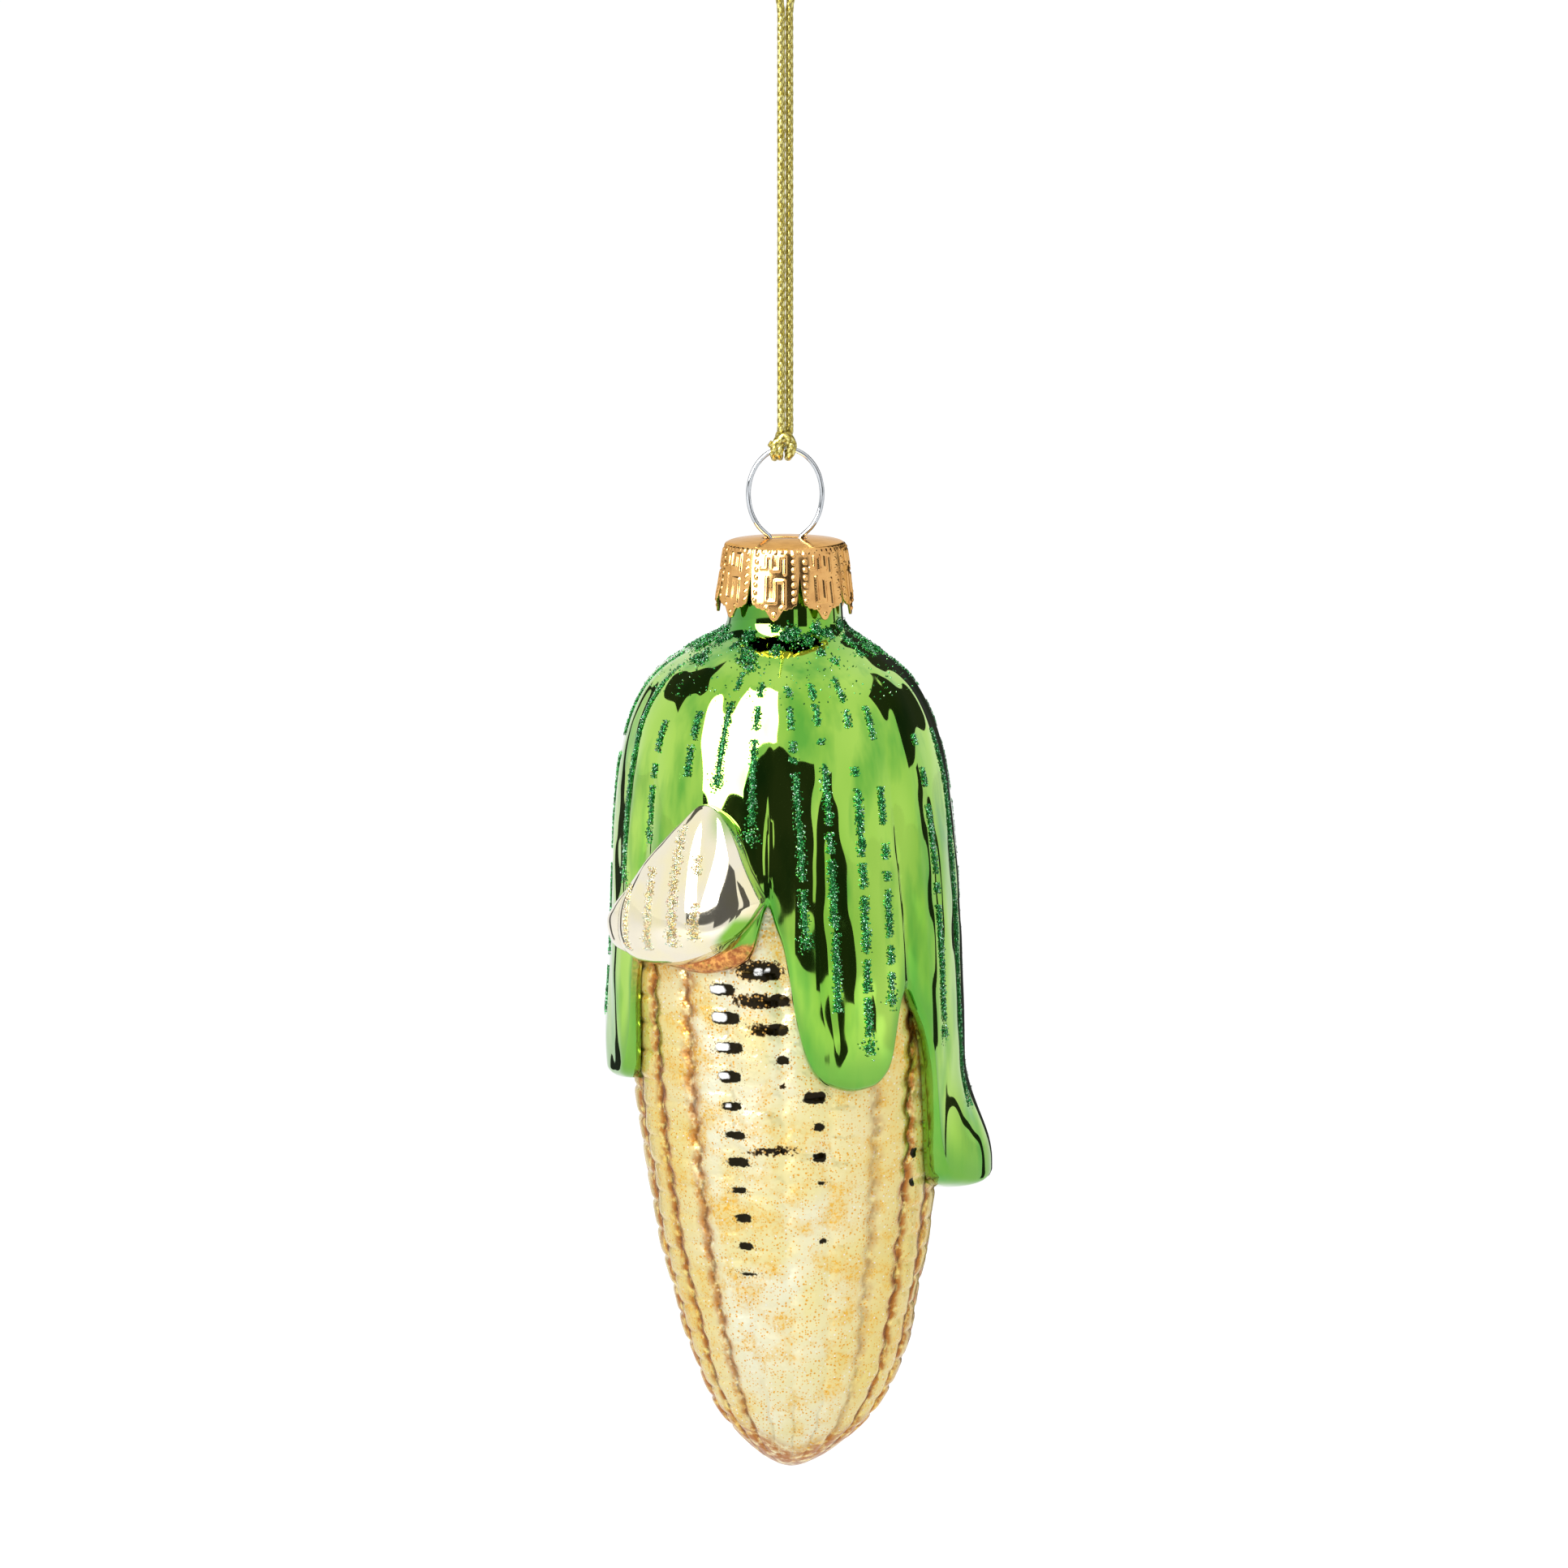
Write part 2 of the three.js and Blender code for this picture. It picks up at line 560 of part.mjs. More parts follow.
// Hanger: one spring wire, a ring above the cap and two legs down inside the neck
function hangerWire() {
  const legSpread = neckRadius - glassWall - wireDiameter / 2 - legClearance;
  const leg = legShape.map(([out, down]) =>
    [ringFoot + (legSpread - ringFoot) * out, -legDepth * down]).reverse();
  const ring = ringShape.map(([out, up]) => [ringHalfWidth * out, ringHeight * up]);
  const right = [...leg, [ringFoot, 0], ...ring];
  const left = right.slice(0, -1).map(([x, z]) => [-x, z]);
  const points = [...left, ...right.reverse()].map(([x, z]) =>
    new THREE.Vector3(x, 0, slotHeight + z - hookHeight));
  return tube(points, wireDiameter, wireSides, wireSteps);
}

// The cord's hitch round the ring: two wraps, the bight across them, and the strands' feet
function cordHitch() {
  const wire = -cordRise;
  const wrapRadius = wireDiameter / 2 + wireGap + hitchCord / 2;
  const pieces = [];
  for (const side of [-1, 1]) {
    const wrap = new THREE.TorusGeometry(wrapRadius, hitchCord / 2, cordSides, 14);
    wrap.rotateY(Math.PI / 2);
    wrap.translate(side * hitchSpread, 0, wire);
    const foot = new THREE.Vector3(side * hitchSpread, 0, wire + wrapRadius);
    const bend = new THREE.Vector3(side * strandSide, side * strandDepth, wire + 0.8 * hitchTop);
    const top = new THREE.Vector3(side * strandSide, side * strandDepth, wire + hitchTop);
    pieces.push(wrap, tube([foot, bend, top], hitchCord, cordSides, 3));
  }
  const bight = (out, up, forward) =>
    new THREE.Vector3(out * hitchSpread, -forward * wrapRadius, wire + up * wrapRadius);
  const route = [
    bight(-1, 0, 1), bight(-0.6, 0.35, 1.3), bight(0, 0.45, 1.4), bight(0.6, 0.35, 1.3),
    bight(1, 0, 1),
  ];
  pieces.push(tube(route, hitchCord, cordSides, 8));
  return joined(pieces);
}

function cordStrand(side) {
  const start = [strandSide, -cordRise + hitchTop + seatGap];
  const points = [start, ...strandRoute].map(([out, height]) =>
    new THREE.Vector3(side * out, side * strandDepth, height));
  return tube(points, cordDiameter, cordSides, strandSteps);
}

// The knot that ties the cord's two ends above its eye
function cordEndKnot() {
  const knot = new THREE.SphereGeometry(1, 16, 10);
  knot.rotateX(Math.PI / 2);
  knot.scale(endKnot.radius, endKnot.radius, endKnot.height / 2);
  knot.translate(0, 0, endKnot.height / 2);
  const pieces = [knot];
  for (const side of [-1, 1]) {
    const foot = new THREE.Vector3(side * strandSide, side * strandDepth, endKnot.height / 2);
    const tip = foot.clone();
    tip.x += side * endKnot.tailLean;
    tip.z += endKnot.height / 2 + endKnot.tail;
    pieces.push(tube([foot, tip], cordDiameter, cordSides, 2));
  }
  return joined(pieces);
}

const material = (color, roughness, metalness) =>
  new THREE.MeshStandardMaterial({ color, roughness, metalness });

const paleGlitter = material(0xe6dcb8, 0.5, 0.4);
const cordYarn = material(0xcdbb45, 0.4, 0.6);

function named(name, geometry, finish) {
  const mesh = new THREE.Mesh(geometry, finish);
  mesh.name = name;
  return mesh;
}

const ornament = new THREE.Group();
ornament.add(
  named("glass_body", glassBody(), material(0xecd98c, 0.3, 0.5)),
  named("husk", husk(), material(0x63b52c, 0.12, 0.9)),
  named("folded_leaf", foldedLeaf(), material(0xe9dfb4, 0.12, 0.8)),
  named("vein_glitter", veinGlitter(), material(0x0f7d4a, 0.5, 0.5)),
  named("cap", cap(), material(0xd9a066, 0.3, 1)),
  named("hanger_wire", hangerWire(), material(0xd5d8db, 0.2, 1)),
  named("cord_hitch", cordHitch(), cordYarn),
  named("cord_strand_left", cordStrand(-1), cordYarn),
  named("cord_strand_right", cordStrand(1), cordYarn),
  named("cord_end_knot", cordEndKnot(), cordYarn),
);
for (const [name, line] of Object.entries(foldGlitterLines)) {
  ornament.add(named(name, foldGlitter(line), paleGlitter));
}

export default ornament;
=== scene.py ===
"""The looks of a blown-glass corn-on-the-cob ornament: lacquered glass, a stamped cap and its cord.

Lengths that describe the ornament are in millimetres and are turned into metres when a surface
is made. An angle is in degrees round the upright axis from the front, positive towards +X, and a
height is measured up from the glass tip.
"""

import logging
import math
from dataclasses import dataclass, field
from enum import Enum
from typing import Callable, Protocol, Sequence

import bpy
import numpy as np
from bpy.types import Material, NodeSocket, Object
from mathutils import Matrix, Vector


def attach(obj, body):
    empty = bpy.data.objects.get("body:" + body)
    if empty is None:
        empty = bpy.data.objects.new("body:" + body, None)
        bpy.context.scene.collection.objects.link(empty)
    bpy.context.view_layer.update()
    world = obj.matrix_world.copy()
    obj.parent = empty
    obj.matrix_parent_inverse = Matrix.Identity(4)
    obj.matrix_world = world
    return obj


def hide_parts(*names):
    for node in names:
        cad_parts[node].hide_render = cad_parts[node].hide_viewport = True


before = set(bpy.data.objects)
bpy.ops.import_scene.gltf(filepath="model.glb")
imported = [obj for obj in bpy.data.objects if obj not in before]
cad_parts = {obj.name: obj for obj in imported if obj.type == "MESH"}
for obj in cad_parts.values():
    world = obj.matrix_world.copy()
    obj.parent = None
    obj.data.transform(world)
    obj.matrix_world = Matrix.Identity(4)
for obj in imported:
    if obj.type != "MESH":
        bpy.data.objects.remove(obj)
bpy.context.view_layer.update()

log = logging.getLogger("ornament")
Array = np.ndarray
Pair = tuple[float, float]
Triple = tuple[float, float, float]
Four = tuple[float, float, float, float]
Keys = Sequence[Pair]
Colour = Triple
Curve = Callable[[Array], Array]
Surface = Callable[[Array, Array], Array]  # a radius at an angle and a height

MM = 0.001
HOOK_HEIGHT = 191.45  # of the cord's eye above the glass tip
NECK_FOOT = 105.7
GLASS_HEIGHT = 114.9
SLOT_HEIGHT = 116.0
HUSK_REACH = 21.6  # of the leaves from the axis
FULL_TURN = 360.0
HALF_TURN = 180.0


# Shared shapes


def through(keys: Keys) -> Curve:
    """Makes a smooth curve through keys that never overshoots them, held flat past its ends.

    Each span is a cubic whose end slopes are the harmonic mean of the slopes beside them.

    Args:
        keys: Pairs of place and value, in order.

    Returns:
        A function of an array of places.
    """
    x, y = np.array(keys, float).T
    slope = np.diff(y) / np.diff(x)
    left, right = slope[:-1], slope[1:]
    product, total = left * right, left + right
    mean = np.where(product > 0, 2 * product / np.where(total == 0, 1, total), 0)
    tangent = np.concatenate([slope[:1], mean, slope[-1:]])

    def curve(place: Array) -> Array:
        """Reads the curve.

        Args:
            place: The places.

        Returns:
            The curve's value at each.
        """
        p = np.clip(place, x[0], x[-1])
        i = np.clip(np.searchsorted(x, p, side="right") - 1, 0, len(x) - 2)
        span = x[i + 1] - x[i]
        t = (p - x[i]) / span
        blend = t * t * (3 - 2 * t)
        leave = tangent[i] * t * (1 - t) ** 2
        arrive = tangent[i + 1] * t * t * (1 - t)
        return y[i] + (y[i + 1] - y[i]) * blend + span * (leave - arrive)

    return curve


def ease(value: Array, low: float, high: float) -> Array:
    """Rises smoothly from 0 at low to 1 at high.

    Args:
        value: Where to read it.
        low: Where it starts.
        high: Where it ends.

    Returns:
        The share, by the cubic 3 t squared less 2 t cubed.
    """
    t = np.clip((value - low) / (high - low), 0, 1)
    return t * t * (3 - 2 * t)


def turn(a: Array, b: Array) -> Array:
    """The angle from a to b the short way round, in degrees.

    Args:
        a: From this angle.
        b: To this angle.

    Returns:
        Degrees from -180 to 180.
    """
    return (b - a + HALF_TURN) % FULL_TURN - HALF_TURN


@dataclass(frozen=True)
class Ripple:
    """A smooth random wave in the blown glass: a sum of slanted sine waves that closes round it."""

    depth: float  # in millimetres
    seed: int
    waves: int  # how many are summed
    around: int  # the most waves round the bulb
    pitch: float  # the shortest length of a wave up the bulb, in millimetres

    def at(self, angle: Array, height: Array) -> Array:
        """How far the wave stands out.

        Args:
            angle: Degrees round the axis.
            height: Height in millimetres.

        Returns:
            Millimetres, mostly from minus the depth to the depth.
        """
        rng = np.random.default_rng(self.seed)
        total = np.zeros(np.broadcast(angle, height).shape)
        for _ in range(self.waves):
            count = rng.integers(1, self.around + 1)
            rate = rng.uniform(-1, 1) / self.pitch
            total += np.sin(np.radians(angle) * count + 2 * np.pi * (rate * height + rng.random()))
        return self.depth * (total / math.sqrt(self.waves))


@dataclass(frozen=True)
class Bulb:
    """The outline that the blown glass and all that lies on it follow."""

    bow_keys: Keys = (
        (0, 0.75), (6, 1.4), (14, 1.65), (22, 1.35), (32, 1.0), (47, 0.6), (62, 0.15), (73, 0),
        (88, -0.4), (96, -0.6), (100, -0.6), (104.5, 0),
    )
    glass_keys: Keys = (
        (0.5, 2.1), (1.5, 3.95), (2.55, 5.35), (4.05, 7.1), (6.6, 9.45), (9.1, 11.0),
        (11.7, 12.3), (16.7, 14.1), (21.8, 15.3), (26.9, 16.5), (32, 17.4), (37, 18.15),
        (42, 18.8), (47, 19.2), (57.5, 19.75), (67.5, 19.9), (73, 19.75), (83, 19.1),
        (90, 18.0), (95.4, 16.2), (98, 14.8), (100, 13.0), (101.6, 11.0), (103.2, 8.6),
        (104.2, 7.0), (NECK_FOOT, 6.2),
    )
    neck_radius: float = 6.2
    neck_from: float = 90.0  # the neck's radius is the least above this height
    tip_rounding: float = 0.5

    def place(self, angle: Array, height: Array, radius: Array) -> Array:
        """Points on the bulb in the part's frame.

        Args:
            angle: Degrees round the axis.
            height: Height in millimetres.
            radius: Distance from the bowed axis in millimetres.

        Returns:
            Points in metres, along a last axis of three.
        """
        a = np.radians(angle)
        x = through(self.bow_keys)(height) + radius * np.sin(a)
        y = -radius * np.cos(a)
        return np.stack(np.broadcast_arrays(x, y, height - HOOK_HEIGHT), -1) * MM

    def outside(self, height: Array) -> Array:
        """The radius of the glass, over the kernels' crowns.

        Args:
            height: Height in millimetres.

        Returns:
            Radius in millimetres, rounded off to a point at the tip.
        """
        neck = self.neck_radius * (height > self.neck_from)
        outline = np.maximum(through(self.glass_keys)(height), neck)
        return outline * np.sqrt(np.clip(height / self.tip_rounding, 0, 1))


BULB = Bulb()


def grid_faces(rows: int, columns: int, rows_close: bool, columns_close: bool = True) -> Array:
    """Quads of a grid, which face outwards where its rows run up and its columns anticlockwise.

    Args:
        rows: Rows of points.
        columns: Points in a row.
        rows_close: Whether the last row joins the first.
        columns_close: Whether a row's last point joins its first.

    Returns:
        Indices, four to a face.
    """
    r = np.arange(rows if rows_close else rows - 1)[:, None]
    c = np.arange(columns if columns_close else columns - 1)[None, :]
    above, beside = (r + 1) % rows, (c + 1) % columns
    corners = [r * columns + c, r * columns + beside, above * columns + beside, above * columns + c]
    return np.stack(np.broadcast_arrays(*corners), -1).reshape(-1, 4)


def end_faces(rows: int, columns: int) -> Array:
    """Triangles from a grid's first and last rings to the two points that follow the grid.

    Args:
        rows: Rows of points.
        columns: Points in a row.

    Returns:
        Indices, three to a face.
    """
    first = np.arange(columns)
    second, last = (first + 1) % columns, (rows - 1) * columns
    start = np.full(columns, rows * columns)
    fans = [(start, second, first), (start + 1, last + first, last + second)]
    return np.concatenate([np.stack(fan, -1) for fan in fans])


def make_mesh(name: str, points: Array, quads: Array, triangles: Array | None = None) -> Object:
    """Makes a smooth mesh object from arrays.

    Args:
        name: The object's name.
        points: Points in metres.
        quads: Four indices to a face.
        triangles: Three indices to a face, if there are any.

    Returns:
        The object, linked to the scene.
    """
    triangles = np.zeros((0, 3), int) if triangles is None else triangles
    loops = np.concatenate([quads.ravel(), triangles.ravel()]).astype(np.int32)
    sizes = np.concatenate([np.full(len(quads), 4), np.full(len(triangles), 3)])
    starts = np.concatenate([[0], np.cumsum(sizes)[:-1]]).astype(np.int32)
    mesh = bpy.data.meshes.new(name)
    mesh.vertices.add(len(points))
    mesh.vertices.foreach_set("co", np.ascontiguousarray(points, np.float32).ravel())
    mesh.loops.add(len(loops))
    mesh.loops.foreach_set("vertex_index", loops)
    mesh.polygons.add(len(sizes))
    mesh.polygons.foreach_set("loop_start", starts)
    mesh.update(calc_edges=True)
    mesh.validate()
    mesh.polygons.foreach_set("use_smooth", np.ones(len(mesh.polygons), bool))
    obj = bpy.data.objects.new(name, mesh)
    bpy.context.scene.collection.objects.link(obj)
    return obj


def closed_grid(name: str, rings: Array, poles: Array | None = None) -> Object:
    """Makes a closed mesh from rings of points that run anticlockwise, up the outside.

    Args:
        name: The object's name.
        rings: Rows, columns and three coordinates, in metres.
        poles: The points that close the first and last ring, or none where the last ring
            joins the first.

    Returns:
        The object.
    """
    rows, columns = rings.shape[:2]
    points = rings.reshape(-1, 3)
    quads = grid_faces(rows, columns, rows_close=poles is None)
    if poles is None:
        return make_mesh(name, points, quads)
    return make_mesh(name, np.concatenate([points, poles]), quads, end_faces(rows, columns))


def set_values(obj: Object, name: str, values: Array) -> None:
    """Keeps a number for each vertex, for the materials to read.

    Args:
        obj: The mesh object.
        name: The attribute's name.
        values: One value to a vertex.
    """
    layer = obj.data.attributes.new(name, "FLOAT", "POINT")
    layer.data.foreach_set("value", np.ascontiguousarray(values, np.float32).ravel())


def smooth_path(points: Array, steps: int) -> Array:
    """Points along a smooth curve through the points given.

    It is a centripetal Catmull-Rom curve: the spans' parameters grow with the square root of
    their lengths, and the ends are mirrored.

    Args:
        points: The points to pass through.
        steps: How many equal steps along the parameter.

    Returns:
        One point more than the steps.
    """
    p = np.asarray(points, float)
    p = np.concatenate([[2 * p[0] - p[1]], p, [2 * p[-1] - p[-2]]])
    knot = np.concatenate([[0], np.cumsum(np.linalg.norm(np.diff(p, axis=0), axis=1) ** 0.5)])
    share = np.linspace(0, len(points) - 1, steps + 1)
    i = np.minimum(share.astype(int), len(points) - 2)
    k0, k1, k2, k3 = (knot[i + n][:, None] for n in range(4))
    p0, p1, p2, p3 = (p[i + n] for n in range(4))
    t = k1 + (share - i)[:, None] * (k2 - k1)
    a1 = (k1 - t) / (k1 - k0) * p0 + (t - k0) / (k1 - k0) * p1
    a2 = (k2 - t) / (k2 - k1) * p1 + (t - k1) / (k2 - k1) * p2
    a3 = (k3 - t) / (k3 - k2) * p2 + (t - k2) / (k3 - k2) * p3
    b1 = (k2 - t) / (k2 - k0) * a1 + (t - k0) / (k2 - k0) * a2
    b2 = (k3 - t) / (k3 - k1) * a2 + (t - k1) / (k3 - k1) * a3
    return (k2 - t) / (k2 - k1) * b1 + (t - k1) / (k2 - k1) * b2


def even_path(points: Array, count: int) -> Array:
    """Spaces points evenly along a line.

    Args:
        points: The line's points, close together, with any further columns after the first three.
        count: How many points to give.

    Returns:
        The evenly spaced points.
    """
    steps = np.linalg.norm(np.diff(points[:, :3], axis=0), axis=1)
    length = np.concatenate([[0], np.cumsum(steps)])
    at = np.linspace(0, length[-1], count)
    return np.stack([np.interp(at, length, column) for column in points.T], -1)


def path_frames(path: Array, up: Sequence[float]) -> tuple[Array, Array]:
    """Two directions square to a path, carried along it without twist as far as up allows.

    Args:
        path: Points along the path.
        up: A direction that is never along the path.

    Returns:
        The sideways and the upward directions at each point.
    """
    along = np.gradient(path, axis=0)
    along /= np.linalg.norm(along, axis=1, keepdims=True)
    side = np.cross(along, np.asarray(up, float))
    side /= np.linalg.norm(side, axis=1, keepdims=True)
    return side, np.cross(side, along)


def tube_rings(path: Array, radius: Array, sides: int, up: Sequence[float]) -> Array:
    """Rings of points round a path.

    Args:
        path: Points along the path in metres.
        radius: The radius in metres, one value or a value to each ring and side.
        sides: Points in a ring.
        up: A direction that is never along the path.

    Returns:
        Rings that run anticlockwise as seen from the path's end.
    """
    side, rise = path_frames(path, up)
    a = np.linspace(0, 2 * np.pi, sides, endpoint=False)
    spoke = side[:, None] * np.cos(a)[None, :, None] - rise[:, None] * np.sin(a)[None, :, None]
    reach = np.broadcast_to(radius, (len(path), sides))[..., None]
    return path[:, None] + spoke * reach


# Materials


class Paint:
    """One procedural material and the nodes that it is made of."""

    coat_roughness = 0.04

    def __init__(self, name: str, metallic: float, roughness: float, coat: float = 0.0) -> None:
        """Starts a material with its glossy surface set.

        Args:
            name: The material's name.
            metallic: How far it is a metal.
            roughness: How rough the surface is.
            coat: The weight of the clear lacquer over it.
        """
        self.material = bpy.data.materials.new(name)
        self.material.use_nodes = True
        self.nodes = self.material.node_tree.nodes
        self.surface = self.nodes["Principled BSDF"]
        self.surface.inputs["Metallic"].default_value = metallic
        self.surface.inputs["Roughness"].default_value = roughness
        self.surface.inputs["Coat Weight"].default_value = coat
        self.surface.inputs["Coat Roughness"].default_value = self.coat_roughness

    def add(self, kind: str, inputs: dict, output: str | int = 0, **settings: object) -> NodeSocket:
        """Adds a node.

        Args:
            kind: The node's type.
            inputs: Values or sockets for its inputs, by name or number.
            output: Which output to give.
            settings: The node's own settings.

        Returns:
            The output's socket.
        """
        node = self.nodes.new(kind)
        for key, value in settings.items():
            setattr(node, key, value)
        for key, value in inputs.items():
            self.put(node.inputs[key], value)
        return node.outputs[output]

    def put(self, socket: NodeSocket, value: object) -> None:
        """Sets an input to a value, or links it to a socket.

        Args:
            socket: The input.
            value: A number, a colour or another node's output.
        """
        if isinstance(value, NodeSocket):
            self.material.node_tree.links.new(value, socket)
        elif isinstance(value, tuple) and socket.type == "RGBA":
            socket.default_value = (*value, 1.0)
        else:
            socket.default_value = value

    def coords(self, stretch: Triple = (1, 1, 1)) -> NodeSocket:
        """Places on the object, in millimetres.

        Args:
            stretch: How the places are scaled along each axis.

        Returns:
            The vector's socket.
        """
        here = self.add("ShaderNodeTexCoord", {}, "Object")
        scale = tuple(value / MM for value in stretch)
        return self.add("ShaderNodeVectorMath", {0: here, 1: scale}, operation="MULTIPLY")

    def noise(self, size: float, detail: float, stretch: Triple = (1, 1, 1)) -> NodeSocket:
        """Soft random values.

        Args:
            size: The size of a patch in millimetres.
            detail: How many finer layers are added.
            stretch: How the places are scaled along each axis.

        Returns:
            A value that is mostly 0.3 to 0.7.
        """
        inputs = {"Vector": self.coords(stretch), "Scale": 1 / size, "Detail": detail}
        return self.add("ShaderNodeTexNoise", inputs)

    def patches(
        self, size: float, detail: float, low: float, high: float, stretch: Triple = (1, 1, 1)
    ) -> NodeSocket:
        """Soft-edged random patches.

        Args:
            size: The size of a patch in millimetres.
            detail: How many finer layers roughen its edge.
            low: The random value that a patch starts at.
            high: The random value from which it is full.
            stretch: How the places are scaled along each axis.

        Returns:
            1 in a patch and 0 outside.
        """
        return self.between(self.noise(size, detail, stretch), low, high)

    def dots(self, spacing: float, radius: float, share: float) -> NodeSocket:
        """Scattered round dots.

        Args:
            spacing: The mean distance between places in millimetres.
            radius: The radius of a dot in spacings.
            share: The share of the places that have a dot.

        Returns:
            1 in a dot and 0 outside.
        """
        inputs = {"Vector": self.coords(), "Scale": 1 / spacing}
        cell = self.add("ShaderNodeTexVoronoi", inputs, "Distance")
        pick = self.add("ShaderNodeSeparateColor", {0: cell.node.outputs["Color"]}, 0)
        near = self.between(cell, 1.15 * radius, 0.85 * radius)
        return self.times(near, self.calc("LESS_THAN", pick, share))

    def value(self, name: str) -> NodeSocket:
        """A number kept for each vertex.

        Args:
            name: The attribute's name.

        Returns:
            The value's socket.
        """
        return self.add("ShaderNodeAttribute", {}, "Fac", attribute_name=name)

    def calc(self, operation: str, a: object, b: object = 0.0) -> NodeSocket:
        """Adds a sum, product or comparison.

        Args:
            operation: Blender's name for it.
            a: The first number or socket.
            b: The second number or socket.

        Returns:
            The result's socket.
        """
        return self.add("ShaderNodeMath", {0: a, 1: b}, operation=operation)

    def times(self, a: object, b: object) -> NodeSocket:
        """The product of two numbers or sockets."""
        return self.calc("MULTIPLY", a, b)

    def between(self, value: object, low: float, high: float) -> NodeSocket:
        """Spreads a range over 0 to 1, and holds it there.

        Args:
            value: The socket to read.
            low: Where the result is 0.
            high: Where it is 1.

        Returns:
            The result's socket.
        """
        inputs = {"Value": value, "From Min": low, "From Max": high}
        return self.add("ShaderNodeMapRange", inputs, clamp=True)

    def mix(self, share: object, a: object, b: object) -> NodeSocket:
        """Mixes two colours.

        Args:
            share: How much of the second colour there is.
            a: The first colour.
            b: The second colour.

        Returns:
            The colour's socket.
        """
        return self.add("ShaderNodeMix", {0: share, 6: a, 7: b}, 2, data_type="RGBA")

    def set(self, name: str, value: object) -> None:
        """Sets or links an input of the surface.

        Args:
            name: The input's name.
            value: A number, a colour or a socket.
        """
        self.put(self.surface.inputs[name], value)

    def bump(self, height: NodeSocket, depth: float) -> None:
        """Roughens the surface by a height.

        Args:
            height: The height's socket, from 0 to 1.
            depth: How deep it is, in millimetres.
        """
        inputs = {"Height": height, "Distance": depth * MM, "Strength": 1.0}
        self.set("Normal", self.add("ShaderNodeBump", inputs))


def colour(red: int, green: int, blue: int) -> Colour:
    """Turns a screen colour into a linear one.

    Args:
        red: From 0 to 255.
        green: From 0 to 255.
        blue: From 0 to 255.

    Returns:
        The linear colour.
    """
    c = np.array([red, green, blue]) / 255
    linear = np.where(c <= 0.04045, c / 12.92, ((c + 0.055) / 1.055) ** 2.4)
    return tuple(float(v) for v in linear)


class Finish(Protocol):
    """A lacquer, metal or yarn that can be made into a material."""

    def make(self) -> Material:
        """Makes the material.

        Returns:
            The material.
        """


class Dressed:
    """A piece that has one finish all over."""

    finish: Finish

    def dress(self, obj: Object) -> None:
        """Gives the piece its finish.

        Args:
            obj: The piece.
        """
        obj.data.materials.append(self.finish.make())


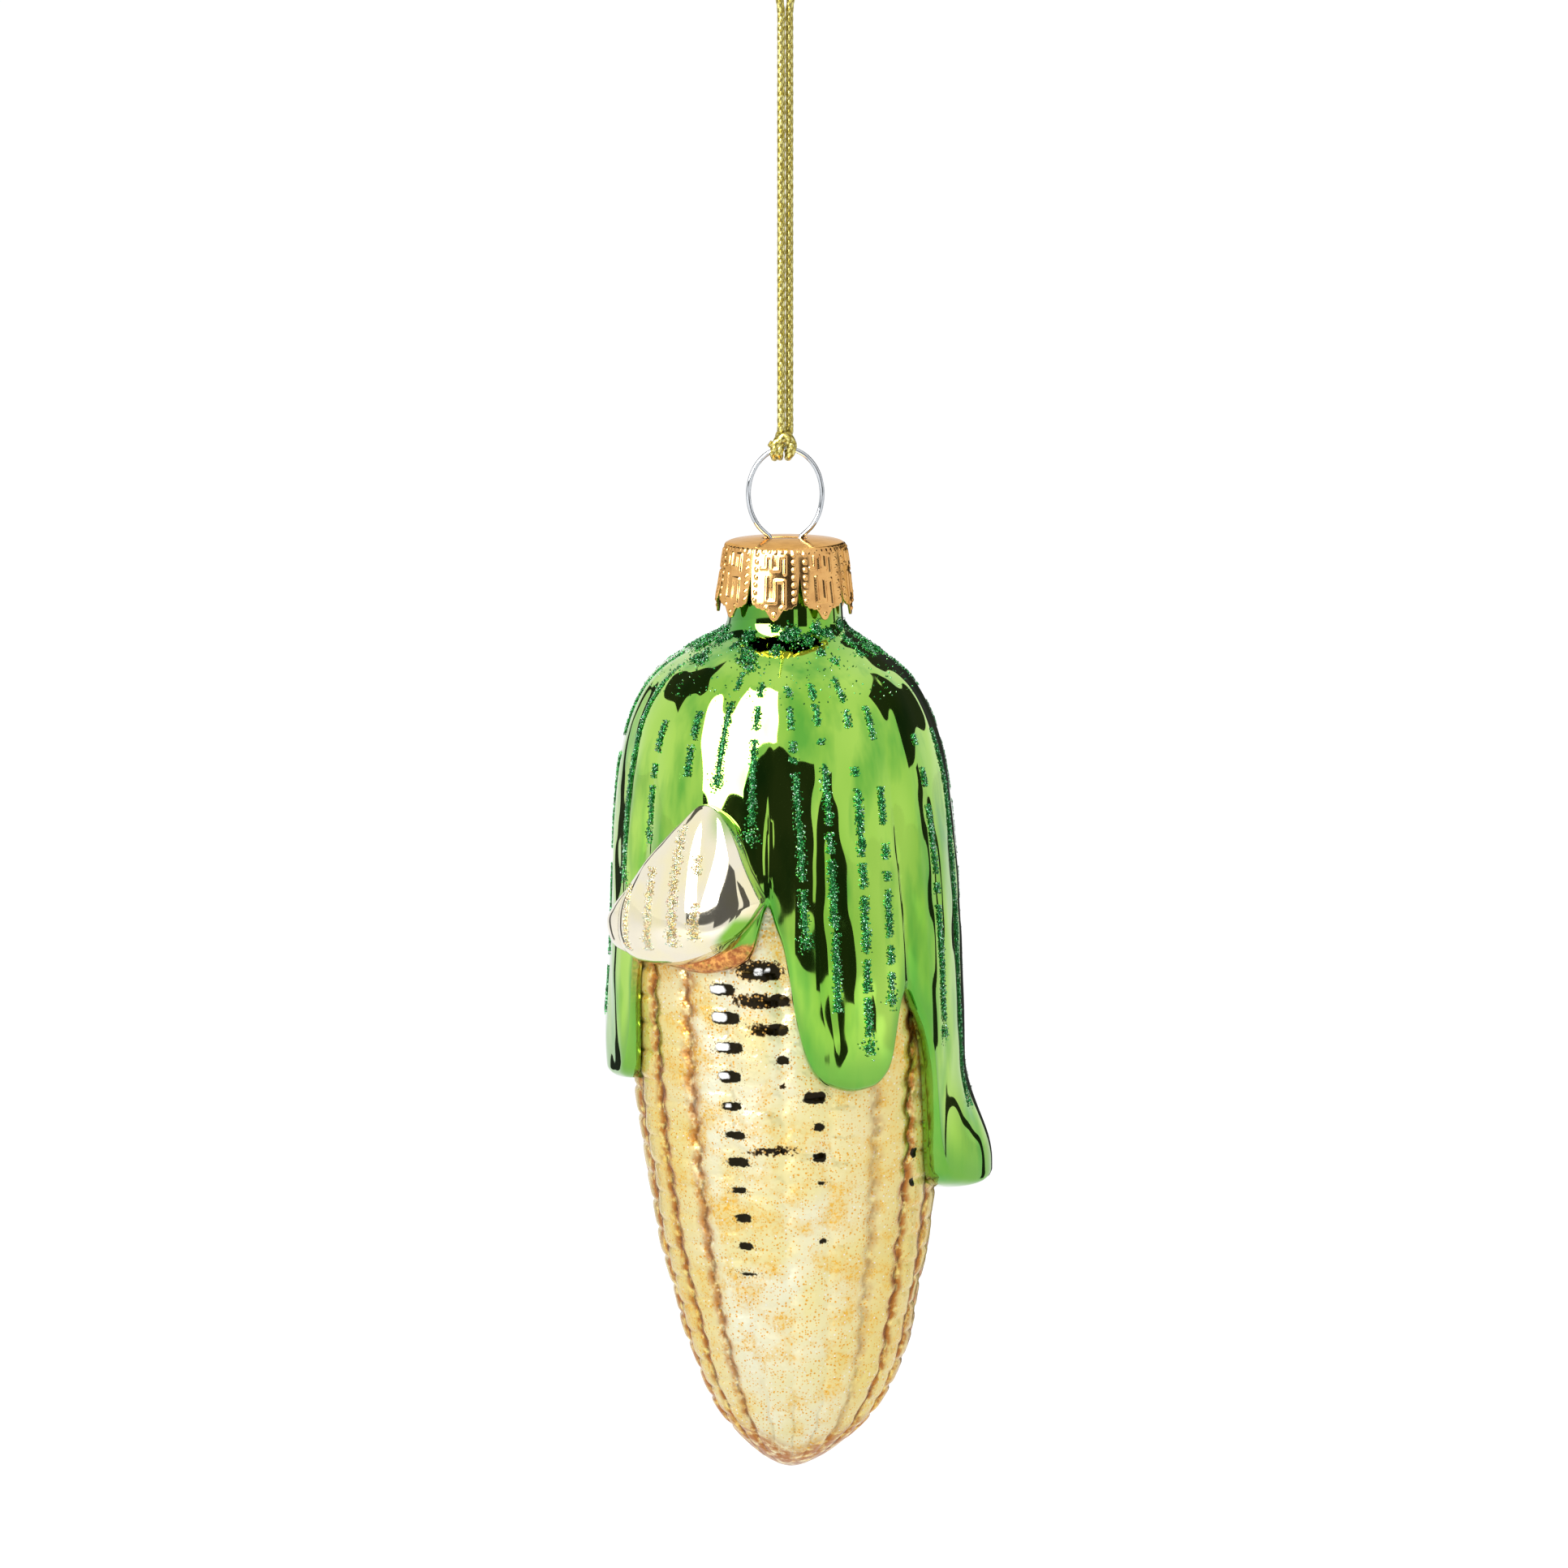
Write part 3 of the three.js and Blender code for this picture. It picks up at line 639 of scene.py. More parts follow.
@dataclass(frozen=True)
class CobLacquer:
    """Cream and golden lacquer over silvered glass, dusted with copper glitter."""

    cream: Colour = colour(253, 246, 206)
    butter: Colour = colour(251, 238, 170)
    pale: Colour = colour(255, 253, 222)
    # Warmer yellow towards the flanks, away from the painted sheen down the front
    warm: Colour = colour(248, 222, 122)
    golden: Colour = colour(246, 206, 84)
    stipple: Colour = colour(250, 188, 30)
    fine_speck: Colour = colour(248, 186, 44)
    bright_speck: Colour = colour(255, 253, 244)
    coarse_speck: Colour = colour(240, 172, 28)
    # Copper-brown in the grooves at the flanks, partly paint and partly painted shade; painted shade along
    # the sides and round the tip
    groove: Colour = colour(182, 112, 34)
    # Painted shade along the grooves' bottoms
    seam: Colour = colour(92, 50, 16)
    fleck: Colour = colour(168, 120, 40)  # round the bare gaps
    gilt: Colour = colour(206, 152, 62)
    # Painted dark in the broken streaks, for the room that they mirror
    streak_painted_dark: Colour = colour(34, 26, 10)
    # Painted dark in the uncoated gaps, for the room that they mirror
    bare_painted_dark: Colour = colour(30, 24, 8)
    # Painted highlight: white where the gaps mirror the softbox
    glint: Colour = (1.0, 1.0, 0.98)
    metallic: float = 0.25

    def ground(self, p: Paint) -> NodeSocket:
        """The cream and gold that the cob is sprayed with, lightest down the front as a painted sheen.

        Args:
            p: The material being made.

        Returns:
            The colour's socket.
        """
        cream = p.mix(p.patches(8, 1, 0.4, 0.62), self.cream, self.butter)
        pale = p.mix(p.patches(6, 1, 0.56, 0.72, (1, 1, 0.3)), cream, self.pale)
        # Painted sheen: lightest down the front, warmer towards the flanks
        warm = p.mix(p.times(p.value("flank"), 0.8), pale, self.warm)
        patch = p.patches(4.2, 3, 0.5, 0.66)
        golden = p.mix(p.times(patch, 0.5), warm, self.golden)
        stipple = p.times(patch, p.patches(0.4, 2, 0.5, 0.6))
        return p.mix(p.times(stipple, 0.85), golden, self.stipple)

    def dusted(self, p: Paint) -> NodeSocket:
        """The ground with its specks of glitter, and brown in its grooves, partly paint and partly painted
        shade.

        Args:
            p: The material being made.

        Returns:
            The colour's socket.
        """
        fine = p.mix(p.dots(0.34, 0.27, 0.5), self.ground(p), self.fine_speck)
        bright = p.mix(p.dots(0.6, 0.18, 0.35), fine, self.bright_speck)
        coarse = p.times(p.patches(5, 3, 0.36, 0.52), p.dots(0.5, 0.27, 0.6))
        speckled = p.mix(coarse, bright, self.coarse_speck)
        ragged = p.times(p.value("groove"), p.patches(1.1, 4, 0.34, 0.54))
        grooved = p.mix(ragged, speckled, self.groove)
        # Painted shade along the grooves' bottoms
        line = p.times(p.value("seam"), p.patches(0.8, 3, 0.36, 0.5))
        return p.mix(line, grooved, self.seam)

    def make(self) -> Material:
        """Makes the material, with the uncoated gaps painted dark for the room that they mirror, the thin
        ones painted as broken dark streaks, and painted white glints.

        Returns:
            The material.
        """
        p = Paint("cob_lacquer", self.metallic, 0.24, 0.15)
        ragged_edge = p.calc("SUBTRACT", p.noise(0.5, 3), 0.5)
        edge = p.calc("ADD", p.value("dash"), p.times(ragged_edge, 0.5))
        flecked = p.times(p.between(edge, 0.5, 0.2), p.dots(0.3, 0.3, 0.7))
        ringed = p.mix(flecked, self.dusted(p), self.fleck)
        streak = p.calc("ADD", p.value("streak"), p.times(ragged_edge, 1.6))
        # The thin gaps: gold, with broken streaks painted dark for the room that they mirror
        thin = p.between(streak, 0.1, -0.1)
        streak_painted_dark = p.times(thin, p.calc("SUBTRACT", 1.0, p.dots(0.42, 0.36, 0.55)))
        gilt = p.mix(thin, ringed, self.gilt)
        # The uncoated gaps, painted dark for the room that they mirror
        bare_painted_dark = p.between(edge, 0.05, -0.05)
        dark = p.mix(bare_painted_dark, p.mix(streak_painted_dark, gilt, self.streak_painted_dark), self.bare_painted_dark)
        # Painted white highlights where the gaps mirror the softbox
        glint = p.calc("ADD", p.value("glint"), p.times(ragged_edge, 0.3))
        p.set("Base Color", p.mix(p.between(glint, 0.08, -0.08), dark, self.glint))
        metal = p.calc("MAXIMUM", p.times(p.value("groove"), 0.8), self.metallic)
        p.set("Metallic", p.calc("MAXIMUM", metal, p.calc("MAXIMUM", bare_painted_dark, streak_painted_dark)))
        p.bump(p.add("ShaderNodeTexVoronoi", {"Vector": p.coords(), "Scale": 1.6}, "Distance"), 0.05)
        return p.material


@dataclass(frozen=True)
class HuskLacquer:
    """Clear green lacquer over silvered glass, with copper where a leaf turns under the fold, partly painted
    shadow, and deeper green painted as shade and dark reflection.
    """

    leaf: Colour = colour(124, 188, 44)
    light: Colour = colour(172, 218, 84)
    # Painted shade at the leaves' tips, and painted dark reflection round the neck
    deep: Colour = colour(70, 150, 46)
    streak: Colour = colour(70, 164, 40)
    # Copper where a leaf turns under the fold, partly paint and partly painted shadow under it
    copper: Colour = colour(168, 94, 38)
    bright_copper: Colour = colour(222, 158, 78)

    def make(self) -> Material:
        """Makes the material.

        Returns:
            The material.
        """
        p = Paint("husk_lacquer", 1.0, 0.035, 0.7)
        green = p.mix(p.patches(11, 2, 0.35, 0.65, (1, 1, 0.35)), self.leaf, self.light)
        deep = p.mix(p.value("deep"), green, self.deep)
        streak = p.times(p.patches(3.4, 3, 0.46, 0.68, (1, 1, 0.25)), 0.8)
        band = p.times(p.value("copper"), p.patches(1.6, 3, 0.16, 0.4))
        copper = p.mix(p.patches(0.5, 3, 0.4, 0.62), self.copper, self.bright_copper)
        p.set("Base Color", p.mix(band, p.mix(streak, deep, self.streak), copper))
        return p.material


@dataclass(frozen=True)
class LiningLacquer:
    """Ivory lacquer over silvered glass, green at the corners, and copper underneath and along the lower rim,
    partly painted shadow.
    """

    ivory: Colour = colour(242, 234, 212)
    cream: Colour = colour(248, 238, 192)
    green: Colour = colour(128, 188, 60)
    # Along the lower rim: partly paint, partly painted shadow under the fold
    copper: Colour = colour(190, 120, 52)

    def make(self) -> Material:
        """Makes the material.

        Returns:
            The material.
        """
        p = Paint("lining_lacquer", 0.9, 0.05, 0.4)
        ivory = p.mix(p.patches(6, 2, 0.4, 0.64), self.ivory, self.cream)
        green = p.mix(p.value("green"), ivory, self.green)
        p.set("Base Color", p.mix(p.value("copper"), green, self.copper))
        return p.material


@dataclass(frozen=True)
class Flakes:
    """Flakes of several tones set in dried glue."""

    name: str
    metallic: float
    glue: Colour
    dark: Colour
    middle: Colour
    light: Colour
    sheen: Colour  # of the few brightest flakes
    roughness: float = 0.22

    def make(self) -> Material:
        """Makes the material, which reads each flake's tone.

        Returns:
            The material.
        """
        p = Paint(self.name, self.metallic, self.roughness)
        tone = p.value("tone")
        steps = (
            (0.0, 0.35, self.dark), (0.35, 0.6, self.middle), (0.6, 0.85, self.light),
            (0.82, 0.9, self.sheen),
        )
        shade = self.glue
        for low, high, next_shade in steps:
            shade = p.mix(p.between(tone, low, high), shade, next_shade)
        p.set("Base Color", shade)
        return p.material


@dataclass(frozen=True)
class Metal:
    """Bare or anodised metal."""

    name: str
    bright: Colour
    dull: Colour
    glancing: Colour  # the tint of its reflections at a low angle
    roughness: float
    dull_share: float  # how much of it is duller

    def make(self) -> Material:
        """Makes the material.

        Returns:
            The material.
        """
        p = Paint(self.name, 1.0, self.roughness)
        p.set("Base Color", p.mix(p.times(p.patches(1.6, 3, 0.45, 0.75), self.dull_share), self.bright, self.dull))
        p.set("Specular Tint", self.glancing)
        return p.material


@dataclass(frozen=True)
class Yarn:
    """Flat metallic yarn, darker between its stitches as painted shade."""

    muted: Colour = colour(184, 166, 62)
    bright: Colour = colour(234, 226, 148)
    # Painted shade between the stitches
    gap: Colour = colour(96, 78, 18)

    def make(self) -> Material:
        """Makes the material.

        Returns:
            The material.
        """
        p = Paint("cord_yarn", 0.7, 0.3)
        lively = p.mix(p.patches(0.35, 2, 0.4, 0.6), self.muted, self.bright)
        p.set("Base Color", p.mix(p.value("gap"), lively, self.gap))
        return p.material


# The glass


@dataclass(frozen=True)
class Mark:
    """A patch on the cob: where it is and its size in millimetres."""

    angle: float
    height: float
    width: float
    length: float
    squareness: float = 3.4  # 2 is an ellipse, and more is nearer to a rectangle

    def distance(self, angle: Array, height: Array) -> Array:
        """How far places lie outside the patch, less than nothing inside it.

        Args:
            angle: Degrees round the axis.
            height: Height in millimetres.

        Returns:
            Distance in millimetres.
        """
        reach = BULB.outside(np.float64(self.height))
        across = np.abs(np.radians(turn(self.angle, angle))) * reach / (self.width / 2)
        along = np.abs(height - self.height) / (self.length / 2)
        power = self.squareness
        round_ = (across**power + along**power) ** (1 / power)
        return (round_ - 1) * min(self.width, self.length) / 2


@dataclass(frozen=True)
class Cob(Dressed):
    """The blown glass from its tip to its neck, moulded with columns of kernels."""

    columns: int = 20
    pitch: float = 3.55
    depth: float = 0.55
    sway: float = 0.05  # how far the columns swing at each kernel, as a share of one
    top: float = 69.0  # where the kernels end
    fade: float = 4.0
    groove: float = -38.5  # the angle of one groove between columns
    wall: float = 0.9
    across: int = 16  # points across a kernel
    up: int = 12  # points up a kernel
    front: float = 2.0  # the angle that the smoother front is centred on
    # The angle of the painted sheen, down which the lacquer is painted lightest
    painted_sheen_angle: float = -8.0  # the angle of the palest lacquer
    seed: int = 11
    stagger: float = 0.5  # of every other column, as a share of a kernel
    unevenness: float = 0.1
    least_plump: float = 0.86
    rows_drawn: int = 64
    notch: float = 0.22  # how far a kernel's ends drop at the front, as a share of its rise
    notch_added: float = 0.65  # at the sides and the back
    notch_fade: Pair = (30, 62)  # degrees from the front
    wave: Ripple = Ripple(0.12, 5, 10, 9, 9.0)
    inset: float = 0.1  # keeps the waves within the outline
    neck_rows: Sequence[float] = (108, 111, GLASS_HEIGHT)
    inner_rows: Sequence[float] = (GLASS_HEIGHT, 108, NECK_FOOT, 103, 98, 90, 70, 45, 20, 8, 3.5)
    thickening: float = 0.7  # of the wall below the neck
    pole_heights: Sequence[float] = (0.0, 2.5)
    finish: CobLacquer = CobLacquer()
    # Bare gaps between kernels, painted dark for the room that they mirror: angle, height, width, length
    gaps: Sequence[Four] = (
        (-23.5, 62.5, 3.2, 1.5), (-23, 58.9, 3.7, 1.6), (-22.1, 55.2, 3.6, 1.4),
        (-22.2, 51.6, 3.0, 1.5), (-21.9, 47.9, 2.5, 1.1), (-21, 44.3, 2.6, 1.0),
        (-20.6, 40.9, 2.9, 1.2), (-20.9, 37.3, 1.9, 0.8), (-20.3, 33.8, 2.1, 1.1),
        (-20.6, 30.2, 1.9, 1.0), (-21, 26.6, 2.1, 0.5), (-1.9, 53.9, 1.5, 1.1),
        (9.2, 49.2, 2.9, 1.5), (10.8, 45.5, 1.3, 1.0), (10.9, 41.7, 1.7, 1.2),
        (11.4, 38.5, 1.0, 0.5), (12.4, 31.0, 0.9, 0.7), (55, 41.0, 1.1, 1.2), (56, 37.2, 0.9, 1.2),
        (-7.8, 64.8, 4.2, 1.9), (-2.6, 61.3, 2.6, 1.6), (-3.4, 57.7, 2.7, 1.5),
    )
    # Gaps where the lacquer is thin and broken, painted as dark streaks, broken by dots, for the room that
    # they mirror
    thin_gaps: Sequence[Four] = (
        (-9.6, 61.2, 6.6, 1.6), (-9.5, 57.7, 3.4, 1.3), (-9.5, 65, 5.4, 2.4), (-7.5, 42.4, 4.6, 0.8),
        (-3, 42.6, 2.4, 0.9), (-2.2, 50.6, 0.8, 0.6),
    )
    # Painted white highlights in the gaps, where they mirror the softbox: angle, height, width, length
    glints: Sequence[Four] = (
        (-25.3, 62.5, 1.9, 0.95), (-25.2, 59.0, 1.9, 1.1), (-24.5, 55.3, 1.8, 0.9),
        (-24.5, 51.7, 1.3, 0.8), (-23.5, 48, 0.7, 0.5), (-10, 64.9, 1.1, 0.9), (-6.6, 65.1, 0.6, 0.5),
    )

    def kernel(self, angle: Array, height: Array) -> tuple[Array, Array]:
        """The kernels' shape, from 0 in the gaps to 1 on the crowns, and the share across one.

        The columns are staggered by half a kernel and sway a little. Each kernel is flat-topped,
        and rises by its own small amount.

        Args:
            angle: Degrees round the axis.
            height: Height in millimetres.

        Returns:
            The rise and the share across.
        """
        rng = np.random.default_rng(self.seed)
        turns = turn(self.groove + HALF_TURN, angle) / FULL_TURN * self.columns + self.columns / 2
        turns = turns + self.sway * np.sin(2 * np.pi * height / self.pitch)
        column = np.floor(turns + 1e-6).astype(int) % self.columns
        uneven = self.unevenness * rng.normal(size=self.columns)
        shift = self.stagger * (column % 2) + uneven[column]
        row = height / self.pitch + shift
        share = (turns + 1e-6) % 1
        plumpness = rng.uniform(self.least_plump, 1.0, (self.columns, self.rows_drawn))
        plump = plumpness[column, np.floor(row).astype(int) % self.rows_drawn]
        side = 1 - np.abs(2 * share - 1) ** 3
        length = 1 - np.abs(2 * (row % 1) - 1) ** 6
        aside = ease(np.abs(turn(self.front, angle)), *self.notch_fade)
        notch = self.notch + self.notch_added * aside
        return side * (1 - notch * (1 - length)) * plump, share

    def radius(self, angle: Array, height: Array) -> Array:
        """The radius of the outside.

        Args:
            angle: Degrees round the axis.
            height: Height in millimetres.

        Returns:
            Radius in millimetres.
        """
        shown = (1 - ease(height, self.top - self.fade, self.top)) * ease(height, 0, 2 * self.pitch)
        wave = self.wave.at(angle, height) * ease(height, 1, 12)
        rise, _ = self.kernel(angle, height)
        free = 1 - ease(height, 80, 95)
        return BULB.outside(height) - self.depth * shown * (1 - rise) + (wave - self.inset) * free

    def build(self) -> Object:
        """Makes the glass as one closed wall with an open neck.

        Returns:
            The object.
        """
        count = self.columns * self.across
        angle = self.groove + np.arange(count) * FULL_TURN / count
        tip = np.linspace(0.02, 1, 7) ** 2 * self.pitch  # closer rows towards the pole
        rows = np.arange(self.pitch, self.top + 4, self.pitch / self.up)[1:]
        shoulder = np.linspace(rows[-1] + 1, NECK_FOOT, 24)
        outer = np.concatenate([tip, rows, shoulder, self.neck_rows])
        a, h = np.meshgrid(angle, outer)
        b, g = np.meshgrid(angle, self.inner_rows)
        wall = self.wall + self.thickening * (1 - ease(g, 80, 105))
        hollow = np.maximum(BULB.outside(g) - wall, 0.3)
        rings = np.concatenate([BULB.place(a, h, self.radius(a, h)), BULB.place(b, g, hollow)])
        poles = BULB.place(np.zeros(2), np.array(self.pole_heights), np.zeros(2))
        obj = closed_grid("glass_body_surface", rings, poles)
        self.paint_values(obj, np.concatenate([a, b]), np.concatenate([h, g]))
        return obj

    def paint_values(self, obj: Object, angle: Array, height: Array) -> None:
        """Keeps where the lacquer is brown, painted dark or painted white, and how far it lies from the
        painted sheen.

        The brown lies in the grooves at the flanks, partly copper paint and partly painted shade, darkest
        along their bottoms as painted shade. It also lies along the sides and round the tip as painted shade,
        where the cob turns away from the front.

        Args:
            obj: The glass.
            angle: Each ring vertex's degrees round the axis.
            height: Each ring vertex's height in millimetres.
        """
        _, share = self.kernel(angle, height)
        valley = np.clip(np.abs(2 * share - 1), 0, 1)
        front = np.abs(turn(self.front, angle))
        flank = ease(front, 20, 48)
        low = 1 - ease(height, 3, 14)
        # Painted shade: brown along the sides and round the tip, where the cob turns away from the front
        rim = ease(front, 62, 82) * (0.35 + 0.65 * (1 - ease(height, 8, 34)))
        foot = 1 - ease(height - 0.075 * front, 0.7, 4.0)
        # The brown in the grooves at the flanks is partly paint and partly painted shade
        groove = ease(valley, 0.44, 0.86) * flank + 0.8 * rim + 1.2 * foot
        # Painted shade along the grooves' bottoms, at the flanks and near the tip
        seam = ease(valley, 0.82, 1.0) * np.maximum(flank, 0.35 * low) * 0.95
        fields = {"groove": np.clip(groove, 0, 1), "seam": seam}
        # How far from the painted sheen down the front
        fields["flank"] = ease(np.abs(turn(self.painted_sheen_angle, angle)), 14, 55)
        for name, marks in (("dash", self.gaps), ("streak", self.thin_gaps), ("glint", self.glints)):
            fields[name] = np.min([Mark(*m).distance(angle, height) for m in marks], axis=0)
        for name, values in fields.items():
            set_values(obj, name, np.append(values.ravel(), values.ravel()[[0, -1]]))


# The leaves


@dataclass(frozen=True)
class Vein:
    """A line of glitter down a leaf: its angles at the neck and at its end, and its runs.

    Each run is the heights of its top and bottom. With none, the line is broken up at random.
    """

    neck: float
    foot: float
    end: float
    runs: Keys = ()
    start: float = 103.3

    def angle(self, height: Array) -> Array:
        """The line's angle, which bends down and outwards from the neck.

        Args:
            height: Height in millimetres.

        Returns:
            Degrees round the axis.
        """
        down = np.sqrt(np.clip((self.start - height) / (self.start - self.end), 0, 1.3))
        return self.neck + (self.foot - self.neck) * down


VEINS = (
    Vein(2, 6.5, 68, ((99.6, 98.4), (97.4, 94.6), (93.4, 91.9), (91.4, 90.6), (89.6, 76.2), (75.4, 69.7))),
    Vein(13, 17.1, 56.5, (
        (99.9, 98), (97.6, 95), (93.6, 92.8), (90.6, 83), (82.3, 79.6), (79, 70.2), (70, 60),
    )),
    Vein(27, 27.4, 54.5, (
        (100.3, 97.5), (96.8, 94.6), (90, 88.8), (87.4, 79), (78.3, 75), (74.3, 67),
        (66.4, 62.2), (61.7, 56.8),
    )),
    Vein(37, 36.6, 60.3, (
        (97, 93), (87.4, 82.6), (80.4, 78.4), (77, 75.7), (74.8, 68.8), (67.9, 65.4), (64.6, 62.4),
    )),
    Vein(-30, -36.2, 85.4, ((96.5, 93), (92.5, 88.5))),
    Vein(-17, -23.4, 87.5, ((101, 99), (97.8, 88.6))),
    Vein(-7, -11, 81, ((100, 98.4), (97.4, 94.6), (93.6, 83))),
    Vein(55, 62.9, 55, ((93, 91.6), (89, 86.4), (84.4, 75.6), (74.6, 73.2), (71.9, 57.2))),
    Vein(74, 79, 46, ((93, 47.5),)), Vein(95, 97, 47), Vein(112, 113, 56),
    Vein(-44, -54, 79.8, ((95, 91), (89.6, 87.8), (87, 82))), Vein(-62, -69, 74.2, ((101, 76),)),
    Vein(-82, -91, 57), Vein(-106, -117, 57), Vein(136, 143, 56), Vein(150, 156, 50.5),
    Vein(165, 169, 57), Vein(-168, -170, 60.5), Vein(-154, -156, 52), Vein(-140, -143, 56.5),
)
FOLD_LINES = (
    Vein(-27, -25.8, 69.6, ((79.6, 77.2), (74, 69.4))),
    Vein(-32.6, -33.2, 68.4, ((83, 68.2),)),
    Vein(-42.2, -42.4, 67.8, ((77.6, 67.4),)),
    Vein(-54.4, -53, 67.4, ((75, 67),)),
)


@dataclass(frozen=True)
class Tip:
    """How a leaf's tip flares out from the cob, most at its height and less above it."""

    angle: float
    half_width: float  # in degrees
    height: float
    length: float
    reach: float


@dataclass(frozen=True)
class Husk(Dressed):
    """The sleeve of leaves over the upper part of the cob."""

    gap: float = 0.12  # from the glass
    least_wall: float = 0.78
    profile: Keys = (
        (36, 21.4), (47, 21.7), (55, 21.9), (62.5, 21.85), (72.5, 21.5), (77.5, 21.25),
        (82.5, 20.85), (87.8, 20.2), (92.9, 19.0), (95.4, 18.05), (98, 16.6), (100, 14.75),
        (101.6, 12.5), (103.2, 10.0), (104, 8.6), (104.6, 7.78), (105.2, 7.36), (105.9, 7.15), (108, 7.0),
    )
    edge: Keys = (
        (-180, 59), (-169, 51), (-156, 47.5), (-144, 51), (-134, 58.5), (-126, 52.5),
        (-112, 49.6), (-98, 49), (-86, 49), (-76, 49.4), (-69.5, 50.8), (-66.5, 54.5),
        (-64.5, 60), (-62, 64.4), (-54, 65), (-42, 64.8), (-29, 64.4), (-21.7, 64.9),
        (-14.5, 65.9), (-10.8, 67.4), (-8.6, 70.2), (-6, 73), (-3.4, 70.4), (-0.8, 67.6),
        (1, 64), (2.6, 59.5), (5.7, 54.4), (9, 52), (13, 50.8), (22.5, 49.9), (29, 50.3),
        (34, 51.9), (38, 56), (41.4, 60.2), (44.8, 62), (48.4, 59.6), (52.4, 56.4), (55.6, 52),
        (57.6, 46.5), (60, 41), (64, 37.6), (71, 36.2), (79, 35.6), (88, 36.4), (100, 37.2),
        (110, 39.5), (119, 45.5), (126, 54), (131, 60), (138, 53.5), (146, 48), (156, 46),
        (166, 48.5), (173, 53.5), (180, 59),
    )
    # Creases between two leaves: each one's angle at the neck and at the notch below
    valleys: Keys = ((-176, -180), (-128, -134), (-48, -62), (-3, -6), (41, 44.8), (124, 131))
    tips: Sequence[Tip] = (
        Tip(88, 26, 38.6, 13, 3.4), Tip(-100, 26, 53, 14, 1.0), Tip(156, 24, 49, 12, 0.8),
        Tip(-156, 24, 50, 12, 0.8),
    )
    sleeve_top: float = 113.2
    leaf_top: float = 88.0
    rounding: float = 1.3
    flute: float = 0.11  # depth of the grooves along the veins
    flute_width: float = 0.95
    flute_reach: float = 21.5  # from the axis, for that width
    veins: Sequence[Vein] = VEINS
    ripples: Sequence[Ripple] = (
        Ripple(0.1, 21, 14, 24, 34.0), Ripple(0.008, 8, 18, 60, 4.5), Ripple(0.1, 3, 6, 5, 26.0),
        Ripple(0.022, 44, 12, 34, 8.0),
    )
    inset: float = 0.05  # keeps the waves within the outline
    crease: float = 0.7  # depth of the valleys
    crease_width: float = 9.0  # in degrees
    lip_radius: float = 6.7
    columns: int = 504
    leaf_rows: int = 112
    crown_rows: int = 50
    crown_top: float = 106.4
    inner_shares: Sequence[float] = (0.1, 0.3, 0.6, 1.0)
    inner_crown: Sequence[float] = (95, 99, 102, 104, NECK_FOOT)
    edge_turns: Sequence[float] = (90, 78, 64, 50, 37, 25, 12)
    copper_left: Pair = (-66, -60)  # the angles over which the copper edge begins
    copper_right: Pair = (-9, -6)
    copper_top: float = 68.5
    copper_width: float = 2.6
    finish: HuskLacquer = HuskLacquer()

    def edge_height(self, angle: Array) -> Array:
        """The height of the leaves' lower edge.

        Args:
            angle: Degrees round the axis.

        Returns:
            Height in millimetres.
        """
        return through(self.edge)(turn(0.0, angle))

    def plain_radius(self, angle: Array, height: Array) -> Array:
        """The radius of the leaves without their fine flutes.

        Args:
            angle: Degrees round the axis.
            height: Height in millimetres.

        Returns:
            Radius in millimetres.
        """
        floor = BULB.outside(height) + self.gap + self.least_wall
        down = 1 - ease(height, 60, 103)
        away = np.full(np.broadcast(angle, height).shape, FULL_TURN)
        for neck, notch in self.valleys:
            away = np.minimum(away, np.abs(turn(neck + (notch - neck) * down, angle)))
        near = 1 - np.minimum(1, away / self.crease_width) ** 0.7
        crease = self.crease * near * (1 - ease(height, 79, 95))
        out = np.maximum(through(self.profile)(height), floor) - crease
        for tip in self.tips:
            across = np.clip(np.abs(turn(tip.angle, angle)) / tip.half_width, 0, 1)
            lift = 1 - ease(height, tip.height, tip.height + tip.length)
            out = out + tip.reach * (1 - across**2) ** 2 * lift
        return np.maximum(out, floor)

    def radius(self, angle: Array, height: Array) -> Array:
        """The radius of the leaves with their flutes and the waves of hand-blown glass.

        Args:
            angle: Degrees round the axis.
            height: Height in millimetres.

        Returns:
            Radius in millimetres.
        """
        free = 1 - ease(height, 98, 103.5)
        grooves = np.zeros(np.broadcast(angle, height).shape)
        for vein in self.veins:
            away = np.radians(turn(vein.angle(height), angle)) * self.flute_reach
            near = np.exp(-((away / self.flute_width) ** 2))
            grooves = grooves + near * ease(height, vein.end - 6, vein.end)
        waves = sum(ripple.at(angle, height) for ripple in self.ripples)
        flute = self.flute * (1 - 0.92 * ease(height, 76, 88))
        return self.plain_radius(angle, height) + free * (waves - flute * grooves - self.inset)

